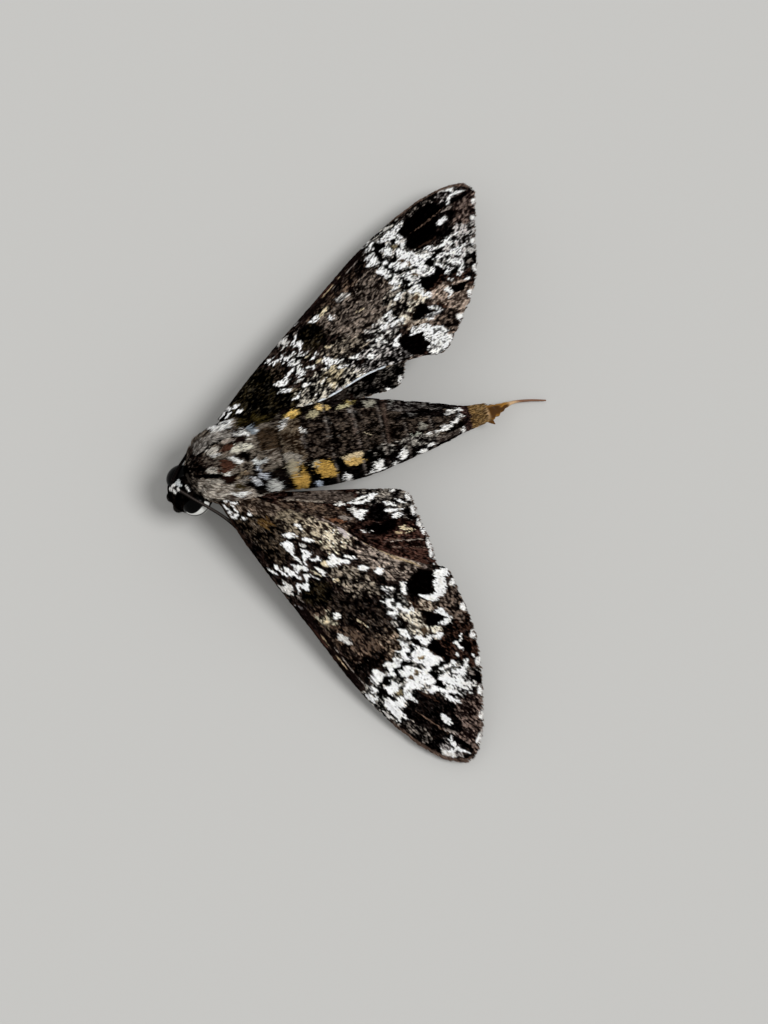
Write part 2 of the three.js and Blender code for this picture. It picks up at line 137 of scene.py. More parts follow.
TAIL_TIP = [
    (0, 39.9, 3.9), (-0.4, 41.4, 2.9), (-1, 43.2, 1.9),
    (-1.3, 45, 1.2), (-1.1, 47.3, 0.75), (-0.6, 49.7, 0.5),
]

# ---- tones, as seen on screen, 0 to 255 ----
WHITE = (250, 248, 243)
PALE_GREY = (206, 203, 198)
CREAM = (214, 198, 166)
TAN = (160, 141, 114)
GREY = (132, 123, 116)
BROWN = (96, 79, 68)
OLIVE = (86, 67, 42)
UMBER = (54, 42, 36)
SOOT = (12, 9, 9)
BLACK = (9, 6, 6)
RUST = (84, 57, 46)
GOLD = (179, 143, 75)
PALE_GOLD = (205, 185, 149)


# ---- numbers: smooth curves and noise ----
def smooth(knots):
    """A smooth curve through (position, value) knots, held level beyond the ends."""
    x, y = np.array(knots, float).T
    before = np.maximum(np.arange(len(x)) - 1, 0)
    after = np.minimum(np.arange(len(x)) + 1, len(x) - 1)
    slopes = (y[after] - y[before]) / (x[after] - x[before])

    def at(position):
        position = np.asarray(position, float)
        i = np.clip(np.searchsorted(x, position) - 1, 0, len(x) - 2)
        span = x[i + 1] - x[i]
        u = np.clip((position - x[i]) / span, 0, 1)
        rise = u * u * (3 - 2 * u)
        bend = u * (1 - u) * span * ((1 - u) * slopes[i] - u * slopes[i + 1])
        return y[i] * (1 - rise) + y[i + 1] * rise + bend

    return at


def smoothstep(low, high, x):
    """0 at low and 1 at high, and level beyond them. high may be less than low."""
    u = np.clip((np.asarray(x, float) - low) / (high - low), 0, 1)
    return u * u * (3 - 2 * u)


def window(x, start, full, fading, end):
    """1 from full to fading, and 0 before start and after end."""
    return smoothstep(start, full, x) * smoothstep(end, fading, x)


def lattice(ix, iy, seed):
    """A number from 0 to 1 that looks random, for each whole place and seed."""
    h = (ix.astype(np.int64) * 374761393 + iy.astype(np.int64) * 668265263 + seed * 1442695041) & 0xFFFFFFFF
    h = ((h ^ (h >> 13)) * 1274126177) & 0xFFFFFFFF
    return ((h ^ (h >> 16)) & 0xFFFF) / 65535


def noise(x, y, seed):
    """Smooth noise from 0 to 1 with one bump to each unit of x and y."""
    x, y = np.broadcast_arrays(np.asarray(x, float), np.asarray(y, float))
    ix, iy = np.floor(x), np.floor(y)
    u, v = smoothstep(0, 1, x - ix), smoothstep(0, 1, y - iy)
    near = lattice(ix, iy, seed) * (1 - u) + lattice(ix + 1, iy, seed) * u
    far = lattice(ix, iy + 1, seed) * (1 - u) + lattice(ix + 1, iy + 1, seed) * u
    return near * (1 - v) + far * v


def fractal(x, y, seed):
    """Noise with two finer noises over it."""
    total, weight = 0, 0
    for n in range(3):
        total = total + noise(x * 2 ** n, y * 2 ** n, seed + 17 * n) * 0.6 ** n
        weight += 0.6 ** n
    return total / weight


def even(tone, like):
    """The one tone or direction at every place of the array like."""
    return np.broadcast_to(np.array(tone, float), np.shape(like) + (3,))


def blend(colour, tone, share):
    """colour moved towards tone by share, which is 0 to 1 at each point."""
    share = np.asarray(share)[..., None]
    return colour * (1 - share) + np.array(tone, float) * share


def unit(vectors):
    return vectors / np.maximum(np.linalg.norm(vectors, axis=-1, keepdims=True), 1e-9)


# ---- from the moth's millimetres to the frame's metres ----
body_x = smooth(BODY_X)
body_z = smooth(BODY_Z)
body_half_width = smooth(BODY_HALF_WIDTH)
body_half_height = smooth(BODY_HALF_HEIGHT)

# One abdomen segment tells how far the frame's origin lies from the moth's own.
segment_front, segment_back = ABDOMEN_JOINTS[2] + GAP / 2, ABDOMEN_JOINTS[3] - GAP / 2
segment_rings = np.linspace(segment_front, segment_back, 3)
segment_low, segment_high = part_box("abdomen_3")
SHIFT = np.array([
    segment_high.x * 1000 - (body_x(segment_rings) + body_half_width(segment_rings)).max(),
    segment_low.y * 1000 - segment_front,
    0,
])


def metres(points):
    return (np.asarray(points, float) + SHIFT) / 1000


# ---- meshes ----
SCREEN_GAMMA = 2.2


def add_piece(name, points, faces, material, colours, uv=None):
    """A mesh object riding on the body. faces holds an array of corner numbers for each kind of face, colours
    are screen tones (0 to 255) at the points, and uv places the points on the unwrapped skin."""
    mesh = bpy.data.meshes.new(name)
    mesh.vertices.add(len(points))
    mesh.vertices.foreach_set("co", metres(points).astype(np.float32).ravel())
    corners = np.concatenate([kind.ravel() for kind in faces]).astype(np.int32)
    sizes = np.concatenate([np.full(len(kind), kind.shape[1]) for kind in faces])
    starts = np.concatenate([[0], np.cumsum(sizes)[:-1]]).astype(np.int32)
    mesh.loops.add(len(corners))
    mesh.loops.foreach_set("vertex_index", corners)
    mesh.polygons.add(len(sizes))
    mesh.polygons.foreach_set("loop_start", starts)
    mesh.polygons.foreach_set("use_smooth", np.ones(len(sizes), bool))
    mesh.update(calc_edges=True)
    paint_mesh(mesh, colours)
    if uv is not None:
        mesh.uv_layers.new(name="OFBake").data.foreach_set("uv", uv[corners].astype(np.float32).ravel())
    mesh.materials.append(material)
    piece = bpy.data.objects.new(name, mesh)
    bpy.context.scene.collection.objects.link(piece)
    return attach(piece, "root")


def paint_mesh(mesh, colours):
    """Stores screen tones as the linear colour attribute that the materials read."""
    linear = np.ones((len(colours), 4), np.float32)
    linear[:, :3] = np.clip(np.asarray(colours) / 255, 0, 1) ** SCREEN_GAMMA
    attribute = mesh.color_attributes.new(name="Coat", type="FLOAT_COLOR", domain="POINT")
    attribute.data.foreach_set("color", linear.ravel())


def grid_faces(rows, columns, wrap=False):
    """Four-cornered faces of a grid of points, closed across its columns where wrap is true."""
    across = columns if wrap else columns - 1
    r, c = np.meshgrid(np.arange(rows - 1), np.arange(across), indexing="ij")
    here, after = r * columns + c, r * columns + (c + 1) % columns
    return np.stack([here, after, after + columns, here + columns], -1).reshape(-1, 4)


def closed_surface(rings, ends):
    """Points and faces of a surface of closed rings, with one more point to close each end."""
    rows, sides = rings.shape[:2]
    ring = np.arange(sides)
    after = (ring + 1) % sides
    last = (rows - 1) * sides
    caps = np.concatenate([
        np.stack([after, ring, np.full(sides, rows * sides)], -1),
        np.stack([last + ring, last + after, np.full(sides, rows * sides + 1)], -1),
    ])
    return np.concatenate([rings.reshape(-1, 3), ends]), [grid_faces(rows, sides, wrap=True), caps]


def turned_over(faces):
    return [kind[:, ::-1] for kind in faces]


def with_ends(colours):
    """The tones of a tube's rings, and those of the points at its ends."""
    return np.concatenate([colours, colours[:1], colours[-1:]])


def tube_mesh(centres, widths, heights, sides, up=(0, 0, 1), turn=0.0):
    """Points and faces of a closed tube along centres, turned round them by the angle turn."""
    centres = np.asarray(centres, float)
    along = unit(np.gradient(centres, axis=0))
    across = unit(np.cross(along, np.asarray(up, float)))
    over = np.cross(across, along)
    angle = np.linspace(0, 2 * math.pi, sides, endpoint=False)
    turn = np.broadcast_to(turn, len(centres))[:, None]
    a = np.cos(angle) * np.asarray(widths)[:, None]
    b = np.sin(angle) * np.asarray(heights)[:, None]
    wide = a * np.cos(turn) - b * np.sin(turn)
    high = a * np.sin(turn) + b * np.cos(turn)
    rings = centres[:, None] + across[:, None] * wide[..., None] + over[:, None] * high[..., None]
    ends = [centres[0] - along[0] * widths[0] * 0.5, centres[-1] + along[-1] * widths[-1] * 0.5]
    points, faces = closed_surface(rings, ends)
    return points, turned_over(faces)


def route(path, count):
    """count evenly spaced points along a centripetal Catmull-Rom curve through the path's points."""
    path = np.array(path, float)
    whole = np.vstack([2 * path[0] - path[1], path, 2 * path[-1] - path[-2]])
    u = np.linspace(0, 1, 40, endpoint=False)[:, None]
    dense = []
    for p0, p1, p2, p3 in zip(whole, whole[1:], whole[2:], whole[3:]):
        d0, d1, d2 = (max(np.linalg.norm(b - a), 1e-6) ** 0.5 for a, b in ((p0, p1), (p1, p2), (p2, p3)))
        m1 = ((p1 - p0) / d0 - (p2 - p0) / (d0 + d1) + (p2 - p1) / d1) * d1
        m2 = ((p2 - p1) / d1 - (p3 - p1) / (d1 + d2) + (p3 - p2) / d2) * d1
        dense.append(
            p1 * (2 * u ** 3 - 3 * u ** 2 + 1) + p2 * (3 * u ** 2 - 2 * u ** 3)
            + m1 * (u ** 3 - 2 * u ** 2 + u) + m2 * (u ** 3 - u ** 2)
        )
    dense = np.vstack([*dense, path[-1:]])
    run = np.concatenate([[0], np.cumsum(np.linalg.norm(np.diff(dense, axis=0), axis=1))])
    evenly = np.linspace(0, run[-1], count)
    return np.stack([np.interp(evenly, run, dense[:, k]) for k in range(3)], -1)


# ---- tufts: the one shape that scales, fur and hairs are made of ----
PATCH = 0.003  # width of a tuft's patch on the unwrapped skin


class Coat:
    """Gathers tufts and joins them into one mesh. A tuft has three sides and ends in a point."""

    def __init__(self, rows=3):
        self.rows = rows
        self.points = []
        self.colours = []
        self.uvs = []

    def add(self, root, lie, normal, length, width, tone, uv, lift=0.12, sag=0.05, curl=0.0, roll=0.0,
            depth=0.35, root_shade=0.6, tip_shade=1.1, fullness=0.5):
        """Tufts from their roots (N, 3) along lie (N, 3), standing off the skin by lift and bending back by
        sag. The tone is (N, 3), or (N, rows, 3) where it changes along each tuft."""
        length, width, lift, sag, curl, roll = (
            np.broadcast_to(np.asarray(value, float), len(root))[:, None]
            for value in (length, width, lift, sag, curl, roll)
        )
        side = unit(np.cross(lie, normal))
        across = side * np.cos(roll) + normal * np.sin(roll)
        over = normal * np.cos(roll) - side * np.sin(roll)
        points, colours, uvs = [], [], []
        for n in range(self.rows):
            u = n / (self.rows - 1)
            rise = normal * length * (lift * u - sag * u * u)
            middle = root + lie * length * u + rise + side * length * curl * u * u
            half = width / 2 * (1 - (1 - fullness) * (1 - u) ** 2) * (1 - u ** 3)
            # Painted shade and light: each tuft is darkest at its root, where the tufts shade one another,
            # and grows lighter towards its tip.
            shade = root_shade + (tip_shade - root_shade) * min(1, u * 1.6)
            corners = [(middle, 0)] if n == self.rows - 1 else [
                (middle - across * half, -1), (middle + across * half, 1), (middle + over * width * depth, 0),
            ]
            for corner, sideways in corners:
                points.append(corner)
                colours.append((tone[:, n] if np.ndim(tone) == 3 else tone) * shade)
                uvs.append(uv + PATCH * np.array([u - 0.5, sideways / 2]))
        self.points.append(np.stack(points, 1))
        self.colours.append(np.stack(colours, 1))
        self.uvs.append(np.stack(uvs, 1))

    def build(self, name, material):
        points = np.concatenate(self.points)
        count, each = points.shape[:2]
        corner = np.arange(3)
        after = (corner + 1) % 3
        quads = grid_faces(self.rows - 1, 3, wrap=True)
        last = 3 * (self.rows - 2)
        threes = np.vstack([[1, 0, 2], np.stack([last + corner, last + after, np.full(3, each - 1)], -1)])
        offsets = np.arange(count)[:, None, None] * each
        faces = [(kind[None] + offsets).reshape(-1, kind.shape[1]) for kind in (quads, threes)]
        return add_piece(
            name, points.reshape(-1, 3), faces, material,
            colours=np.concatenate(self.colours).reshape(-1, 3), uv=np.concatenate(self.uvs).reshape(-1, 2),
        )


# ---- painting: zones, patches and marks in millimetres on a surface ----
def inside(outline, x, y):
    hit = np.zeros(np.shape(x), bool)
    for (x0, y0), (x1, y1) in zip(outline, outline[1:] + outline[:1]):
        if y0 != y1:
            hit ^= ((y0 > y) != (y1 > y)) & (x < (x1 - x0) * (y - y0) / (y1 - y0) + x0)
    return hit


def rank(values):
    """Each value's place among them all, from 0 to 1, so that a share of a surface can be picked out."""
    return np.argsort(np.argsort(values.ravel())).reshape(values.shape) / values.size


def zigzag(x, y, seed):
    """How far, along x, a zigzag edge that runs across y lies off its line."""
    wave = y / 1.3 + 1.5 * noise(y * 0.4, x * 0.2, seed)
    teeth = (np.abs(2 * (wave - np.floor(wave)) - 1) - 0.5) * 0.9
    return teeth + (noise(y * 3.1, x * 0.8, seed + 1) - 0.5) * 0.8


def paint(x, y, zones, patches, marks, seed, wear, teeth=1.0, grain=1.0, spread=0.24, fray=1.0, streak=1.0):
    """Screen tones at (x, y) in mm, laid on in turn.

    Zones are (dark tone, light tone, share that is light, outline) and are filled with speckle. Patches are
    (tone, outlines) with crisp ragged edges. Marks are (tone, x, y, half length, half width, tilt in
    degrees).
    wear is how much of the patches is rubbed dark, and fray is how ragged their edges are. teeth is how deep
    the zigzag edges of zones are. grain is how fine the speckle is, spread is how softly its dark and light
    meet, and streak is how far it is drawn out along x.
    """
    jag = zigzag(x, y, seed)
    drift = (noise(x * 1.9, y * 1.9, seed + 2) - 0.5) * 0.5
    fine = noise(x * 3.7 * grain / streak, y * 4.5 * grain * streak, seed + 5)
    fleck = noise(x * 5.1 * grain / streak + 9, y * 5.9 * grain * streak, seed + 6)
    clumps = fractal(x * 0.8, y * 1.1, seed + 3)
    speckle = rank(0.5 * clumps + 0.5 * fine)
    glint = smoothstep(0.7, 0.86, fleck + 0.3 * (clumps - 0.5)) * 0.5
    gap = smoothstep(0.3, 0.2, fleck) * 0.7
    zone_x, zone_y = x + jag * teeth, y + drift
    colour = np.zeros(np.shape(x) + (3,))
    for dark, light, share, outline in zones:
        dark, light = np.array(dark), np.array(light)
        half_way = 0.96 - share
        tone = blend(dark, light, smoothstep(half_way - spread, half_way + spread, speckle))
        tone = blend(blend(tone, dark * 0.6, gap), light * 0.72 + 46, glint)
        colour = np.where(inside(outline, zone_x, zone_y)[..., None], tone, colour)
    edge = ((fine - 0.5) * 0.5 + (fleck - 0.5) * 0.34) * fray
    patch_x, patch_y = x + jag * 0.2 + edge, y + drift * 0.3 + edge * 0.6
    worn = smoothstep(wear, wear - 0.08, fleck) * 0.85
    uneven = (0.9 + 0.2 * clumps)[..., None]
    for tone, outlines in patches:
        tone = blend(np.array(tone) * uneven, np.array(tone) * 0.2 + 6, worn)
        for outline in outlines:
            colour = np.where(inside(outline, patch_x, patch_y)[..., None], tone, colour)
    ragged = (speckle - 0.5) * 0.6
    for tone, middle_x, middle_y, half_length, half_width, tilt in marks:
        c, s = math.cos(math.radians(tilt)), math.sin(math.radians(tilt))
        u = ((patch_x - middle_x) * c + (patch_y - middle_y) * s) / half_length
        v = ((patch_y - middle_y) * c - (patch_x - middle_x) * s) / half_width
        colour = blend(colour, tone, smoothstep(1.16, 0.98, np.hypot(u, v) - ragged))
    return colour


def contrast(colour):
    """Deepens the darks and lifts the lights a little."""
    return np.clip((colour - 6) * 1.08, 0, 255)


# ---- wings: markings in (s, t) ----
FORE_ZONES = [
    ((10, 8, 8), (58, 48, 43), 0.4, [(-1, -8), (56, -8), (56, 19), (-1, 19)]),
    ((10, 8, 8), (40, 32, 29), 0.4, [(0, -3), (12, -3.6), (12, -1.6), (4, -2.4)]),
    ((12, 10, 9), (74, 64, 54), 0.42, [(3, -1.4), (14, -1.4), (13, 1), (10, 2.6), (8, 4), (3, 1)]),
    (UMBER, OLIVE, 0.85, [(6.2, 1.2), (8.2, 1.4), (8, 2.8), (6.4, 2.6)]),
    ((36, 29, 25), (116, 102, 90), 0.36, [(0, -0.6), (2.4, -0.4), (8.4, 4), (8, 6.6), (4, 4.6),
        (0, 2.2)]),
    ((24, 19, 17), (134, 122, 104), 0.4, [(7, 3.4), (10.5, 2.8), (13, 4.5), (12.5, 8.4), (8, 6)]),
    ((30, 24, 21), (192, 178, 154), 0.36, [(10, 4.5), (14, 5), (17.4, 5.6), (18.5, 7), (18.2, 9.8),
        (13, 8.8), (10.5, 6.6)]),
    ((50, 42, 36), (226, 214, 190), 0.5, [(14, 6.4), (17.6, 6.2), (18, 9.6), (15, 9)]),
    ((52, 43, 39), (146, 132, 124), 0.46, [(8, 6.4), (14, 8.6), (18, 9.8), (24, 10.6), (29, 14), (28, 16),
        (20, 12), (8, 9)]),
    ((16, 13, 12), (158, 146, 130), 0.36, [(18.6, 3), (24.5, 3.6), (27, 7), (22, 7.4), (19.6, 5.4)]),
    ((14, 11, 11), (96, 80, 68), 0.4, [(21, -3.2), (34, -4), (35, 1), (33, 4), (27, 2), (22, 0)]),
    ((10, 8, 8), (66, 57, 50), 0.34, [(19, -0.4), (27, 0), (28, 5.5), (33, 4), (30, 0), (26, 5)]),
    ((18, 15, 13), (180, 172, 150), 0.32, [(22.6, -2.8), (25, -2.6), (25.4, -0.8), (23, -0.6)]),
    ((26, 20, 18), (118, 100, 86), 0.42, [(27, -3), (34, -3.4), (35, -0.6), (30, -1)]),
    ((6, 5, 5), (46, 40, 30), 0.26, [(18.4, -2.4), (21.6, -2), (22.4, 0), (21.6, 2.2), (19, 2.4),
        (18, 0.6)]),
    ((6, 5, 5), (44, 36, 32), 0.26, [(32.2, -4.6), (34.8, -4.8), (34, -2.6), (34.8, -0.6), (34.4, 0.8),
        (32.8, 0.6), (31.8, -2)]),
    ((26, 21, 18), (148, 130, 112), 0.44, [(30.6, 1.4), (34.8, 1.4), (34.6, 4), (31.6, 4.6)]),
    ((32, 26, 24), (168, 153, 140), 0.46, [(18, 8), (22, 8.4), (27.6, 9.4), (29, 12.4), (27.6, 14.6),
        (22, 11.8)]),
    ((8, 7, 7), (222, 216, 206), 0.17, [(35.5, -6.4), (42.8, -6.4), (42.6, -4.3), (41.6, -2), (41, 0),
        (43, 2.2), (47, 4.6), (46, 9.2), (42.6, 9.4), (41, 6.6), (37.6, 6), (37, 9.5), (34, 9), (31, 9),
        (27, 9), (27, 6.4), (32, 4.6), (35, 3), (35.4, 1.2), (35, 0), (35.4, -1), (35, -2.6),
        (35.4, -4.4)]),
    ((34, 27, 23), (224, 215, 196), 0.5, [(31, 6.3), (34, 6), (36.4, 6.8), (38, 8.6), (38, 9.8),
        (33, 9.4), (31.4, 8.4)]),
    ((16, 13, 13), (238, 236, 232), 0.56, [(42.5, 2.4), (47, 3.2), (47, 6.4), (44, 8), (42, 6)]),
    ((5, 4, 4), (36, 30, 28), 0.24, [(42.4, -4.6), (46, -4.9), (49.8, -4.1), (50.6, -2.6), (49.4, -1),
        (49.8, 1.6), (47.4, 2), (46.6, 3.2), (44.6, 2.2), (42, 1), (40.8, -0.1), (41.8, -1), (41.2, -2.1),
        (41.8, -3.2)]),
    ((12, 10, 10), (134, 126, 118), 0.34, [(43.2, -5), (47.6, -4.6), (48.4, -3.4), (46.4, -2.6),
        (43.8, -3.2)]),
    ((16, 13, 13), (164, 158, 154), 0.3, [(49.4, -3.6), (51.6, -3.2), (53, -1.6), (52.6, -0.8),
        (50, -0.6), (49, -1.8)]),
    ((26, 20, 19), (124, 107, 98), 0.42, [(46.4, 3), (48, 1.9), (50, 1.7), (49.8, 0), (55, 0), (54, 2.4),
        (51.6, 4.8), (48.8, 7.2), (46.8, 5.8)]),
    ((10, 8, 8), (70, 52, 44), 0.4, [(37.6, 6), (39.4, 6.2), (42, 8), (44, 8.8), (43.6, 10.8), (42, 12.8),
        (38, 14.6), (36.4, 13), (37, 11), (37.4, 8.4)]),
    ((18, 14, 13), (126, 110, 98), 0.38, [(32, 10.4), (34.4, 10.6), (38.6, 12.6), (36, 15.6), (33.4, 16),
        (33, 12)]),
    ((50, 36, 28), (190, 176, 158), 0.4, [(30.6, 8.4), (33.2, 9), (34, 11.4), (32, 10.8)]),
]

